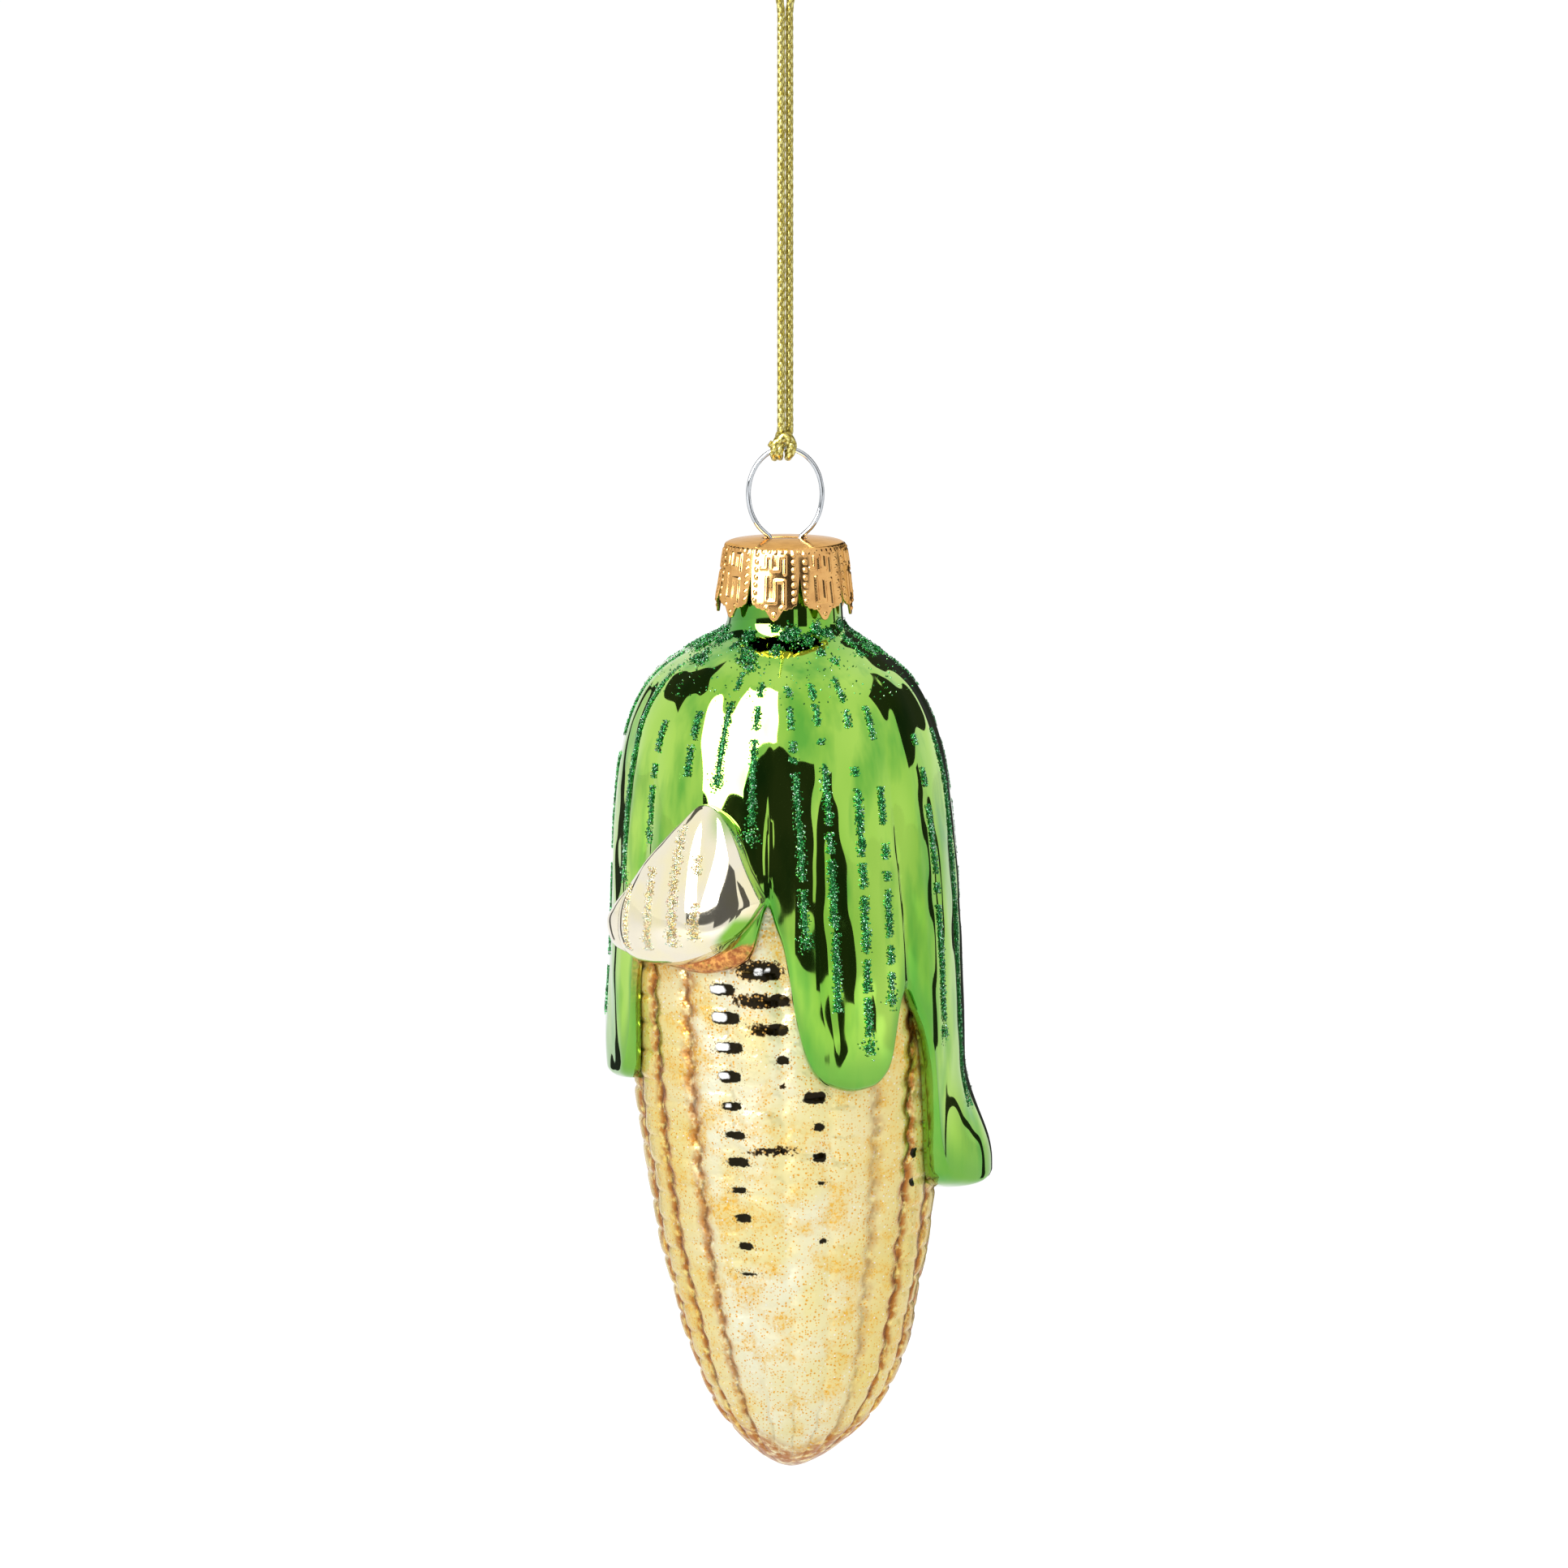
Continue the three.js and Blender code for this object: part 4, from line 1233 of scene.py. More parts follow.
    def build(self) -> Object:
        """Makes the leaves as one closed sleeve with a rounded lower edge.

        Returns:
            The object.
        """
        angle = -HALF_TURN + np.arange(self.columns) * FULL_TURN / self.columns
        edge = self.edge_height(angle)
        glass = BULB.outside(edge) + self.gap
        brink = self.radius(angle, edge + self.rounding)
        shares = np.array(self.inner_shares)[:, None]
        inner_h = np.concatenate([
            edge + (self.leaf_top - edge) * shares, np.array(self.inner_crown)[:, None] + 0 * edge,
        ])
        inner_r = BULB.outside(inner_h) + self.gap
        turned = np.radians(np.array(self.edge_turns))[:, None]
        edge_h = edge + self.rounding * (1 - np.sin(turned))
        edge_r = glass + (brink - glass) * np.cos(turned) ** 0.75
        share = np.linspace(0, 1, self.leaf_rows)[:, None]
        leaf_h = edge + self.rounding + (self.leaf_top - edge - self.rounding) * share
        crown_h = np.linspace(self.leaf_top, self.crown_top, self.crown_rows)[1:, None] + 0 * edge
        outer_h = np.concatenate([leaf_h, crown_h])
        outer_r = self.radius(angle, outer_h)
        neck_rows = np.array([108, 111, self.sleeve_top - 0.1, self.sleeve_top])
        neck_h = neck_rows[:, None] + 0 * edge
        neck_r = through(self.profile)(neck_h)
        neck_r[-1] = self.lip_radius
        top_h = np.full((1, self.columns), self.sleeve_top)
        top_r = np.full((1, self.columns), BULB.neck_radius + self.gap)
        heights = np.concatenate([top_h, inner_h[::-1], edge_h, outer_h, neck_h])
        radii = np.concatenate([top_r, inner_r[::-1], edge_r, outer_r, neck_r])
        obj = closed_grid("husk_surface", BULB.place(angle, heights, radii))
        rows = np.arange(len(heights))[:, None] + 0 * angle
        under = rows < len(top_h) + len(inner_h) + len(edge_h)
        # Copper on the leaf's edge under the fold: partly paint, partly painted shadow under the fold
        covered = ease(angle, *self.copper_left) * (1 - ease(angle, *self.copper_right))
        covered = covered * (heights < self.copper_top)
        lowest = heights < edge + self.copper_width
        set_values(obj, "copper", np.where(under | lowest, covered, 0.0))
        # Deeper green painted as shade at the leaves' tips, and as a dark reflection round the neck, most at
        # its left
        tip_shade = (1 - ease(heights, edge + 1.5, edge + 7)) * 0.6
        neck_shade = ease(heights, 102, 105) * (0.2 + 0.8 * ease(-angle, 0, 50) * (angle < 90))
        set_values(obj, "deep", np.clip(tip_shade + neck_shade, 0, 1))
        return obj


HUSK = Husk()


@dataclass(frozen=True)
class FoldedLeaf(Dressed):
    """The leaf that is folded down over the front left, with its pale lining outwards."""

    rim: Keys = (
        (-29, 85.3), (-36.4, 83.1), (-48.5, 78.8), (-59.7, 74.6), (-70.4, 71), (-75.6, 68.7),
        (-72.6, 66.8), (-63.1, 65.7), (-53.5, 65.3), (-40.9, 65.3), (-30.6, 65.8),
        (-23.5, 66.7), (-16.4, 68.3), (-12.2, 70), (-7.9, 72.6), (-6.3, 74), (-7.8, 75.5),
        (-10.6, 78), (-13.9, 81.2), (-17.4, 83.6), (-22.6, 85.1),
    )
    centre: Pair = (-40.0, 73.6)
    fullest: Pair = (-23.5, 69.6)
    rise: float = 4.0
    least: float = 0.3
    ridge: float = 3.5  # how rounded the ridge is, in millimetres
    slope_left: float = 0.145
    slope_right: float = 0.32
    spread_up: float = 13.5
    spread_up_right: float = 22.0
    spread_down: float = 9.0
    seat: float = 0.05
    lines: Sequence[Vein] = FOLD_LINES
    crease: float = 0.06  # depth of the grooves along the lines
    crease_width: float = 1.0
    crease_reach: float = 24.5  # from the axis, for that width
    wave: Ripple = Ripple(0.05, 17, 8, 22, 20.0)
    columns: int = 360
    rows: int = 90
    under: Sequence[float] = (0.15, 0.4, 0.7, 0.92, 0.985)  # shares of the rows underneath
    under_rise: Sequence[float] = (0, 0, 0, 0, 0.12)
    finish: LiningLacquer = LiningLacquer()

    def outline(self) -> Array:
        """The rim as a smooth closed line.

        Returns:
            Angles and heights.
        """
        keys, more, steps = np.array(self.rim), 3, 60
        looped = np.concatenate([keys[-more:], keys, keys[:more]])
        flat = np.concatenate([looped, np.zeros((len(looped), 1))], 1)
        fine = smooth_path(flat, steps * (len(flat) - 1))[more * steps : (1 - more) * steps]
        path = even_path(fine, self.columns + 1)[:-1]
        return path[:, :2]

    def height_above(self, angle: Array, height: Array, share: Array) -> Array:
        """How far the fold stands out above the husk.

        A rounded ridge, from which both flanks slope down, fades upwards and downwards as exp of
        minus the squared distance, and drops to the husk with a rounded lip. Veins crease it.

        Args:
            angle: Degrees round the axis.
            height: Height in millimetres.
            share: From 0 at the centre to 1 at the rim.

        Returns:
            Millimetres.
        """
        across = np.radians(angle - self.fullest[0]) * HUSK_REACH
        slope = np.where(across < 0, self.slope_left, self.slope_right)
        up = height - self.fullest[1]
        crest = np.maximum(self.rise - slope * (np.hypot(across, self.ridge) - self.ridge), 0)
        reach = self.spread_up + (self.spread_up_right - self.spread_up) * ease(across, -1, 4)
        hump = crest * np.exp(-((up / np.where(up > 0, reach, self.spread_down)) ** 2))
        sharp = 5 + 15 * ease(angle, -32, -18) * ease(height, 68, 71.5)
        lip = np.sqrt(np.clip(1 - share**sharp, 0, 1))
        flutes = np.zeros_like(share)
        for line in self.lines:
            away = np.radians(angle - line.angle(height)) * self.crease_reach
            flutes = flutes + np.exp(-((away / self.crease_width) ** 2))
        waves = self.wave.at(angle, height)
        return (self.least + hump + waves - self.crease * flutes) * lip

    def build(self) -> Object:
        """Makes the fold as one closed pouch on the husk.

        Returns:
            The object.
        """
        outline = self.outline()
        centre = np.array(self.centre)
        share = np.sin(np.linspace(0.02, 1, self.rows) * np.pi / 2)[::-1]
        all_shares = np.concatenate([self.under, share])
        spread = centre + (outline[None] - centre) * all_shares[:, None, None]
        angle, height = spread[..., 0], spread[..., 1]
        base = HUSK.plain_radius(angle, height) + self.seat
        above = self.height_above(angle, height, all_shares[:, None] + 0 * angle)
        above[: len(self.under)] = np.array(self.under_rise)[:, None]
        rings = BULB.place(angle, height, base + above)
        middle = np.array([self.centre[0]]), np.array([self.centre[1]])
        seat = HUSK.plain_radius(*middle) + self.seat
        top = seat + self.height_above(*middle, np.zeros(1))
        poles = np.concatenate([BULB.place(*middle, seat), BULB.place(*middle, top)])
        obj = closed_grid("folded_leaf_surface", rings, poles)
        # Green at the rim's right corner and at its peak, and copper along its lower rim, partly painted
        # shadow under the fold
        corner = ease(angle, -22, -17) * (1 - ease(height, 71.5, 73)) * ease(all_shares[:, None], 0.78, 0.86)
        peak = ease(height, 80.5, 84) * ease(angle, -26, -18) * 0.8
        copper = (1 - ease(height, 66.2, 67.6)) * ease(all_shares[:, None], 0.93, 1.0)
        for name, values in (("green", np.maximum(corner, peak)), ("copper", copper)):
            values = np.clip(values, 0, 1)
            set_values(obj, name, np.append(values.ravel(), [0.0, 0.0]))
        return obj

    def surface(self) -> Surface:
        """Makes a function that gives the fold's radius at a place, from its rim and rise.

        Returns:
            A function of angle and height.
        """
        outline, centre = self.outline(), np.array(self.centre)
        spokes = outline - centre
        bearing = np.degrees(np.arctan2(spokes[:, 1], spokes[:, 0]))
        order = np.argsort(bearing)
        reach = np.hypot(*spokes.T)[order]

        def radius(angle: Array, height: Array) -> Array:
            """Reads the fold's surface.

            Args:
                angle: Degrees round the axis.
                height: Height in millimetres.

            Returns:
                Its distance from the axis in millimetres.
            """
            x, y = angle - centre[0], height - centre[1]
            rim = np.interp(np.degrees(np.arctan2(y, x)), bearing[order], reach, period=FULL_TURN)
            share = np.clip(np.hypot(x, y) / rim, 0, 1)
            return HUSK.plain_radius(angle, height) + self.seat + self.height_above(angle, height, share)

        return radius


# Glitter


@dataclass
class Bundle:
    """Closed pieces that are gathered into one mesh, each point with its tone."""

    points: list[Array] = field(default_factory=list)
    quads: list[Array] = field(default_factory=list)
    triangles: list[Array] = field(default_factory=list)
    tones: list[Array] = field(default_factory=list)
    count: int = 0

    def take(self, points: Array, quads: Array, triangles: Array, tones: Array) -> None:
        """Adds points with their faces.

        Args:
            points: Points in metres.
            quads: Four indices to a face, from 0.
            triangles: Three indices to a face, from 0.
            tones: One tone to a point.
        """
        self.quads.append(quads + self.count)
        self.triangles.append(triangles + self.count)
        self.points.append(points)
        self.tones.append(np.broadcast_to(tones, len(points)))
        self.count += len(points)

    def take_rings(self, rings: Array, tones: Array | float) -> None:
        """Adds a closed body made of rings, with its ends drawn to their middles.

        Args:
            rings: Rows, columns and three coordinates.
            tones: One tone, or one to each ring point.
        """
        rows, columns = rings.shape[:2]
        poles = rings[[0, -1]].mean(axis=1)
        flat = np.broadcast_to(tones, (rows, columns)).ravel()
        self.take(
            np.concatenate([rings.reshape(-1, 3), poles]),
            grid_faces(rows, columns, rows_close=False),
            end_faces(rows, columns),
            np.append(flat, flat[[0, -1]]),
        )

    def finish(self, name: str, attribute: str) -> Object:
        """Makes the mesh.

        Args:
            name: The object's name.
            attribute: The name that the tones are kept under.

        Returns:
            The object.
        """
        joined = (np.concatenate(part) for part in (self.points, self.quads, self.triangles))
        obj = make_mesh(name, *joined)
        set_values(obj, attribute, np.concatenate(self.tones))
        return obj


class Sparkle(Enum):
    """The two kinds of glitter, each with its colours."""

    EMERALD = Flakes(
        "green_glitter", 0.5, glue=colour(26, 116, 48), dark=colour(8, 90, 38),
        middle=colour(44, 188, 92), light=colour(150, 245, 170), sheen=colour(214, 255, 232),
    )
    PALE = Flakes(
        "pale_glitter", 0.85, glue=colour(252, 242, 200), dark=colour(240, 212, 136),
        middle=colour(255, 253, 240), light=colour(204, 242, 212), sheen=colour(255, 222, 204),
    )


@dataclass(frozen=True)
class Glitter(Dressed):
    """Flakes of glitter along veins, in ribs of dried glue where it is thick."""

    name: str
    kind: Sparkle
    lines: Sequence[Vein]
    surface: Surface
    width: float = 1.2
    glue: float = 0.16  # the height of the ribs, none if 0
    per_area: float = 30.0
    flake: Pair = (0.09, 0.17)  # the least and largest size
    collar: int = 0  # how many flakes lie round the foot of the neck
    collar_clumps: int = 60
    collar_levels: Pair = (101.4, 105.8)
    collar_flake: Pair = (0.11, 0.22)
    collar_lift: float = 0.3
    blob: float = 3.4  # millimetres of line whose flakes gather at its end
    rib_step: float = 0.7
    rib_turns: Sequence[float] = (270, 180, 140, 90, 40, 0)  # where a rib's section has points
    spread: float = 0.27  # of the flakes across a line, as a share of its width
    farthest: float = 0.62
    clear_end: float = 0.05  # of a run, before its first flake
    tilt: float = 0.36
    ridge: float = 0.22  # of a flake, as a share of its size
    random_top: float = 102.0
    seed: int = 77

    @property
    def finish(self) -> Flakes:
        """The colours of its kind."""
        return self.kind.value

    def runs(self, line: Vein, rng: np.random.Generator) -> list[Pair]:
        """The stretches of a line that have glitter.

        Args:
            line: The line.
            rng: Where the random lengths come from.

        Returns:
            Heights of the top and bottom of each.
        """
        if line.runs:
            return list(line.runs)
        found, top = [], self.random_top
        while top - line.end > 3:
            length = min(rng.uniform(3, 13), top - line.end)
            found.append((top, top - length))
            top -= length + rng.uniform(0.6, 2.0)
        return found

    def scatter(
        self, bundle: Bundle, place: Array, out: Array, flake: Sequence[float], rng: np.random.Generator
    ) -> None:
        """Lays thin flakes at random tilts.

        Each flake is a flattened tetrahedron: a square plate with a ridge across it.

        Args:
            bundle: What they are added to.
            place: Their middles in metres.
            out: The directions square to the surface.
            flake: The least and largest size in millimetres.
            rng: Where the tilts, sizes and tones come from.
        """
        count = len(place)
        normal = out + rng.normal(0, self.tilt, (count, 3))
        normal /= np.linalg.norm(normal, axis=1, keepdims=True)
        across = np.cross(normal, rng.normal(size=(count, 3)))
        across /= np.linalg.norm(across, axis=1, keepdims=True)
        along = np.cross(normal, across)
        size = rng.uniform(*flake, count)[:, None] * MM
        ridge = normal * size * self.ridge
        upper, lower = place + ridge, place - ridge
        across, along = across * size, along * size
        points = np.stack([upper + across, upper - across, lower + along, lower - along], 1)
        pattern = np.array([[0, 1, 2], [1, 0, 3], [2, 3, 0], [3, 2, 1]])
        faces = (np.arange(count)[:, None, None] * 4 + pattern).reshape(-1, 3)
        tone = rng.beta(1.0, 1.1, count)
        bundle.take(points.reshape(-1, 3), np.zeros((0, 4), int), faces, np.repeat(tone, 4))

    def add_run(
        self, bundle: Bundle, line: Vein, top: float, foot: float, rng: np.random.Generator
    ) -> None:
        """Lays one rib of glue with its flakes, and a thicker blob at the line's end.

        Args:
            bundle: What it is added to.
            line: The line it lies on.
            top: The height of its top.
            foot: The height of its bottom.
            rng: Where the random parts come from.
        """
        steps = max(4, int((top - foot) / self.rib_step))
        height = np.linspace(foot, top, steps)[:, None]
        share = np.linspace(-1, 1, steps)[:, None]
        taper = np.sqrt(np.clip(1.02 - share**8, 0, 1)) * (0.78 + 0.3 * rng.random((steps, 1)))
        a = np.radians(np.array(self.rib_turns))[None]
        side = np.degrees(0.3 * self.width * taper * np.cos(a) / HUSK_REACH)
        lift = self.glue * taper * np.maximum(np.sin(a), -0.3)
        angle = line.angle(height) + side
        if self.glue:
            rings = BULB.place(angle, height + 0 * side, self.surface(angle, height + 0 * side) + lift)
            bundle.take_rings(rings, 0.08)
        count = int(self.per_area * (top - foot) * self.width) + 12
        at = rng.uniform(foot + self.clear_end, top - self.clear_end, count)
        across = np.clip(rng.normal(0, self.spread, count), -self.farthest, self.farthest) * self.width
        if foot < line.end + 3:
            extra = int(self.blob * self.per_area)
            at = np.append(at, line.end + 0.9 + rng.normal(0, 0.55, extra))
            across = np.append(across, rng.normal(0, 0.5, extra))
        self.lay(bundle, line.angle(at) + np.degrees(across / HUSK_REACH), at, across, rng)

    def lay(
        self, bundle: Bundle, angle: Array, height: Array, across: Array, rng: np.random.Generator
    ) -> None:
        """Lays flakes at places on the surface.

        Args:
            bundle: What they are added to.
            angle: Degrees round the axis.
            height: Height in millimetres.
            across: How far each lies from the rib's middle, in millimetres.
            rng: Where the random parts come from.
        """
        hump = np.clip(1 - (across / (0.55 * self.width)) ** 2, 0, 1)
        radius = self.surface(angle, height) + self.glue * hump + rng.uniform(0, 0.1, len(angle))
        a = np.radians(angle)
        out = np.stack([np.sin(a), -np.cos(a), 0 * a], -1)
        self.scatter(bundle, BULB.place(angle, height, radius), out, self.flake, rng)

    def add_collar(self, bundle: Bundle, rng: np.random.Generator) -> None:
        """Lays the clumps of glitter round the foot of the neck.

        Args:
            bundle: What it is added to.
            rng: Where the random parts come from.
        """
        clumps = self.collar_clumps
        middle = np.arange(clumps) * FULL_TURN / clumps + rng.uniform(-4, 4, clumps)
        level = rng.uniform(*self.collar_levels, clumps)
        size = rng.uniform(0.4, 1.0, clumps)
        which = rng.choice(clumps, self.collar, p=size**2 / (size**2).sum())
        angle = middle[which] + rng.normal(0, 3.6, self.collar) * size[which]
        height = level[which] + rng.normal(0, 0.5, self.collar) * size[which]
        lift = rng.uniform(0, self.collar_lift, self.collar) * size[which]
        a = np.radians(angle)
        out = np.stack([np.sin(a), -np.cos(a), 0.9 + 0 * a], -1) / 1.35  # square to the shoulder
        place = BULB.place(angle, height, self.surface(angle, height)) + out * lift[:, None] * MM
        self.scatter(bundle, place, out, self.collar_flake, rng)
        stray = self.collar // 9
        angle, height = rng.uniform(0, FULL_TURN, stray), rng.uniform(97.5, 105, stray)
        self.lay(bundle, angle, height, np.full(stray, self.width), rng)

    def build(self) -> Object:
        """Makes all the lines as one piece.

        Returns:
            The object.
        """
        rng = np.random.default_rng(self.seed)
        bundle = Bundle()
        for line in self.lines:
            for top, foot in self.runs(line, rng):
                self.add_run(bundle, line, top, foot, rng)
        if self.collar:
            self.add_collar(bundle, rng)
        return bundle.finish(self.name, "tone")


# Metal


@dataclass(frozen=True)
class Cap(Dressed):
    """The cap of stamped metal, with eight petals that carry a Greek key and rows of beads."""

    petals: int = 8
    turned: float = -9.5
    sheet: float = 0.3
    rim_height: float = 115.5
    dome: float = 0.5
    inner_radius: float = 7.0
    side: Keys = ((0, 0), (0.25, 0.3), (0.7, 0.5), (3.3, 0.9), (5, 1.1), (7, 1.35), (9, 1.4))
    petal_edge: Keys = (
        (0, 8.9), (0.1, 8.75), (0.2, 8.25), (0.3, 7.75), (0.37, 7.5), (0.47, 7.55), (0.56, 7.35),
        (0.66, 7.35), (0.74, 7.05), (0.83, 6.95), (0.885, 6.3), (0.92, 5.3), (0.955, 4.2), (1, 2.95),
    )
    slot_length: float = 5.4
    slot_width: float = 1.3
    columns_per_petal: int = 88
    rows: int = 76
    # Strokes of the key on a petal: places across and down, from the petal's middle and the rim
    strokes: Sequence[Keys] = (
        ((-0.98, 3.5), (-0.98, 6.45), (0.17, 6.45), (0.17, 3.95), (1.22, 3.95), (1.22, 6.9)),
        (
            (-1.72, 2.4), (-1.1, 2.4), (-1.1, 1.0), (-0.42, 1.0), (-0.42, 2.6), (0.56, 2.6),
            (0.56, 1.0), (1.3, 1.0), (1.3, 3.05),
        ),
    )
    stroke_half: float = 0.2
    relief: float = 0.15
    bead: float = 0.27
    bead_height: float = 0.2
    bead_pitch: float = 0.93
    bead_side: float = 2.42
    bead_top: float = 0.75
    last_bead: int = 6
    edge_beads: Keys = ((0.9, 7.25), (0.0, 8.1))  # places across and down, on the petal's point
    shoulder_ridge: float = 0.09
    shoulder_rings: Keys = ((0.02, -0.12), (0.08, 0.08), (0.16, 0.2))
    side_start: float = 0.25
    top_inset: float = 0.35
    top_shares: Sequence[float] = (0, 0.15, 0.4, 0.7, 0.9, 1.0)  # of the way from slot to rim
    splay: float = 0.12  # how unevenly the petals stand out
    petal_bend: float = 0.16  # how far a petal's corners stand out
    dimple: Ripple = Ripple(0.05, 9, 5, 6, 2.0)
    finish: Metal = Metal(
        "cap_metal", colour(232, 180, 112), colour(194, 140, 82), colour(234, 212, 176), 0.15, 0.7
    )

    def pattern(self, across: Array, down: Array) -> Array:
        """The height of the stamped relief on a petal.

        The key's strokes are flat bands with soft sides, the beads are round, and short ridges
        run over the shoulder.

        Args:
            across: Millimetres from the petal's middle.
            down: Millimetres below the rim.

        Returns:
            Millimetres outwards.
        """
        nearest = np.full(across.shape, 9.0)
        for stroke in self.strokes:
            for (x0, y0), (x1, y1) in zip(stroke, stroke[1:]):
                span = (x1 - x0) ** 2 + (y1 - y0) ** 2
                t = np.clip(((across - x0) * (x1 - x0) + (down - y0) * (y1 - y0)) / span, 0, 1)
                gap = np.hypot(across - x0 - t * (x1 - x0), down - y0 - t * (y1 - y0))
                nearest = np.minimum(nearest, gap)
        key = self.relief * (1 - ease(nearest, self.stroke_half - 0.12, self.stroke_half + 0.08))
        row = np.clip(np.round((down - self.bead_top) / self.bead_pitch), 0, self.last_bead)
        row = row * self.bead_pitch + self.bead_top
        away = np.hypot(np.abs(across) - self.bead_side, down - row)
        for x, y in self.edge_beads:
            away = np.minimum(away, np.hypot(np.abs(across) - x, down - y))
        beads = self.bead_height * np.sqrt(np.clip(1 - (away / self.bead) ** 2, 0, 1))
        ridges = 0.5 + 0.5 * np.cos(2 * np.pi * across / 0.8)
        band = ease(down, 0.0, 0.25) * (1 - ease(down, 0.45, 0.75))
        shoulder = self.shoulder_ridge * ridges * band
        return np.maximum(np.maximum(key, beads), shoulder)

    def build(self) -> Object:
        """Makes the cap as one closed sheet with a slot through its top.

        Returns:
            The object.
        """
        count = self.petals * self.columns_per_petal
        half = HALF_TURN / self.petals
        angle = self.turned - half + np.arange(count) * FULL_TURN / count
        local = (angle - self.turned + half) % (2 * half) - half
        edge = through(self.petal_edge)(np.abs(local) / half)
        a = np.radians(angle)
        slope_x, slope_y = np.sin(a), -np.cos(a)
        slot = np.minimum(
            self.slot_length / 2 / np.maximum(np.abs(slope_x), 1e-6),
            self.slot_width / 2 / np.maximum(np.abs(slope_y), 1e-6),
        )

        def ring(depth: Array, out: Array) -> Array:
            """Points so far below the rim and so far from the axis."""
            z = self.rim_height - depth - HOOK_HEIGHT
            return np.stack(np.broadcast_arrays(out * slope_x, out * slope_y, z), -1) * MM

        def top(share: float, under: float) -> Array:
            """A ring of the domed top.

            Args:
                share: Where it lies, from 0 at the slot to 1 at the rim.
                under: How far below the top's surface it lies, in millimetres.

            Returns:
                Points in metres.
            """
            full = self.inner_radius - self.top_inset
            out = slot + (full - slot) * share
            rise = self.dome * (1 - (out / full) ** 2) * 0.9
            dimple = self.dimple.at(angle, np.full(count, 3.0 * share)) * share * (1 - share)
            return ring(under - rise - dimple, out)

        share = np.linspace(0, 1, self.rows)[:, None]
        depth = self.side_start + (edge - self.side_start) * share
        across = np.radians(local) * (self.inner_radius + 1.0)
        petal = np.arange(count) // self.columns_per_petal
        splay = self.splay * np.sin(petal * 2.3)
        flare = (splay + self.petal_bend * (across / 3) ** 2) * ease(depth, 2.5, 8)
        outer = self.inner_radius + through(self.side)(depth) + flare
        relief = self.pattern(np.broadcast_to(across, depth.shape), depth)
        near_edge = ease(1 - share, 0.01, 0.06) * ease(half - np.abs(local), 0, 1.2)
        outer_rings = ring(depth, outer + relief * near_edge)
        inner_depth = np.maximum(depth[::-3], self.side_start + 0.1)
        inner_side = self.inner_radius + through(self.side)(inner_depth) - self.sheet
        inner_rings = ring(inner_depth, inner_side + flare[::-3])
        rings = [top(across_top, 0.0) for across_top in self.top_shares]
        for down, out in self.shoulder_rings:
            rings.append(ring(np.full(count, down), np.full(count, self.inner_radius + out)))
        rings += [*outer_rings, *inner_rings]
        rings += [top(across_top, self.sheet) for across_top in self.top_shares[::-1]]
        return closed_grid("cap_surface", np.stack(rings)[::-1])


@dataclass(frozen=True)
class HangerWire(Dressed):
    """The spring wire: a ring above the cap and two legs down inside the neck."""

    diameter: float = 0.6
    ring_height: float = 10.95
    half_width: float = 4.53
    foot: float = 1.95
    leg_depth: float = 16.5
    leg_spread: float = 4.5
    ring: Keys = (
        (0.54, 0.045), (0.72, 0.12), (0.91, 0.265), (1, 0.47), (0.95, 0.65), (0.8, 0.8),
        (0.55, 0.92), (0.28, 0.982), (0, 1),
    )
    leg: Keys = ((-0.06, 0.055), (0.22, 0.18), (0.88, 0.455), (1, 0.67), (1, 1))
    sides: int = 20
    rows: int = 420
    # Its duller patches are painted partly in place of the dark lines that the wire mirrors
    finish: Metal = Metal(
        "wire_metal", colour(202, 206, 210), colour(164, 168, 172), colour(164, 168, 172), 0.05, 0.6
    )

    def build(self) -> Object:
        """Makes the wire as one closed tube.

        Returns:
            The object.
        """
        out = self.leg_spread - self.foot
        leg = [(self.foot + out * x, -self.leg_depth * y) for x, y in self.leg][::-1]
        ring = [(self.half_width * x, self.ring_height * y) for x, y in self.ring]
        right = [*leg, (self.foot, 0.0), *ring]
        points = [(-x, z) for x, z in right[:-1]] + right[::-1]
        route = np.array([(x, 0, SLOT_HEIGHT + z - HOOK_HEIGHT) for x, z in points]) * MM
        path = even_path(smooth_path(route, 1200), self.rows)
        rings = tube_rings(path, self.diameter / 2 * MM, self.sides, (0, 1, 0))
        return closed_grid("hanger_wire_surface", rings, rings[[0, -1]].mean(axis=1))


# Cord


STITCH_LENGTH = 2.3
RIDGE_TURNS = 4
YARN_CORE = 0.86  # the radius in the gaps, as a share of the whole
STITCH_RISE = 0.16
YARN_SIDES = 24


def yarn_object(name: str, lines: Sequence[tuple[Array, float | Array]]) -> Object:
    """Makes closed tubes of knitted cord as one piece, with plump stitches and gaps darkened as painted
    shade.

    The stitches are where two slanted sets of ridges, one turning each way, cross. A ridge is the
    sine of the place along the cord plus or less the place round it.

    Args:
        name: The object's name.
        lines: Each tube's evenly spaced points in metres, and its diameter in metres, one value
            or one to each point.

    Returns:
        The object, with how deep in a gap each point lies.
    """
    bundle = Bundle()
    for path, diameter in lines:
        step = np.linalg.norm(path[1] - path[0])
        along = (np.arange(len(path)) * step / (STITCH_LENGTH * MM))[:, None]
        round_ = (np.arange(YARN_SIDES) / YARN_SIDES)[None, :]
        slants = (RIDGE_TURNS, -RIDGE_TURNS)
        ridges = [np.sin(np.pi * (2 * along + slant * round_)) for slant in slants]
        plump = np.sqrt(np.abs(ridges[0] * ridges[1]))
        radius = diameter / 2 * (YARN_CORE + STITCH_RISE * plump)
        bundle.take_rings(tube_rings(path, radius, YARN_SIDES, (0.05, 1, 0.02)), 1 - ease(plump, 0.2, 0.62))
    return bundle.finish(name, "gap")


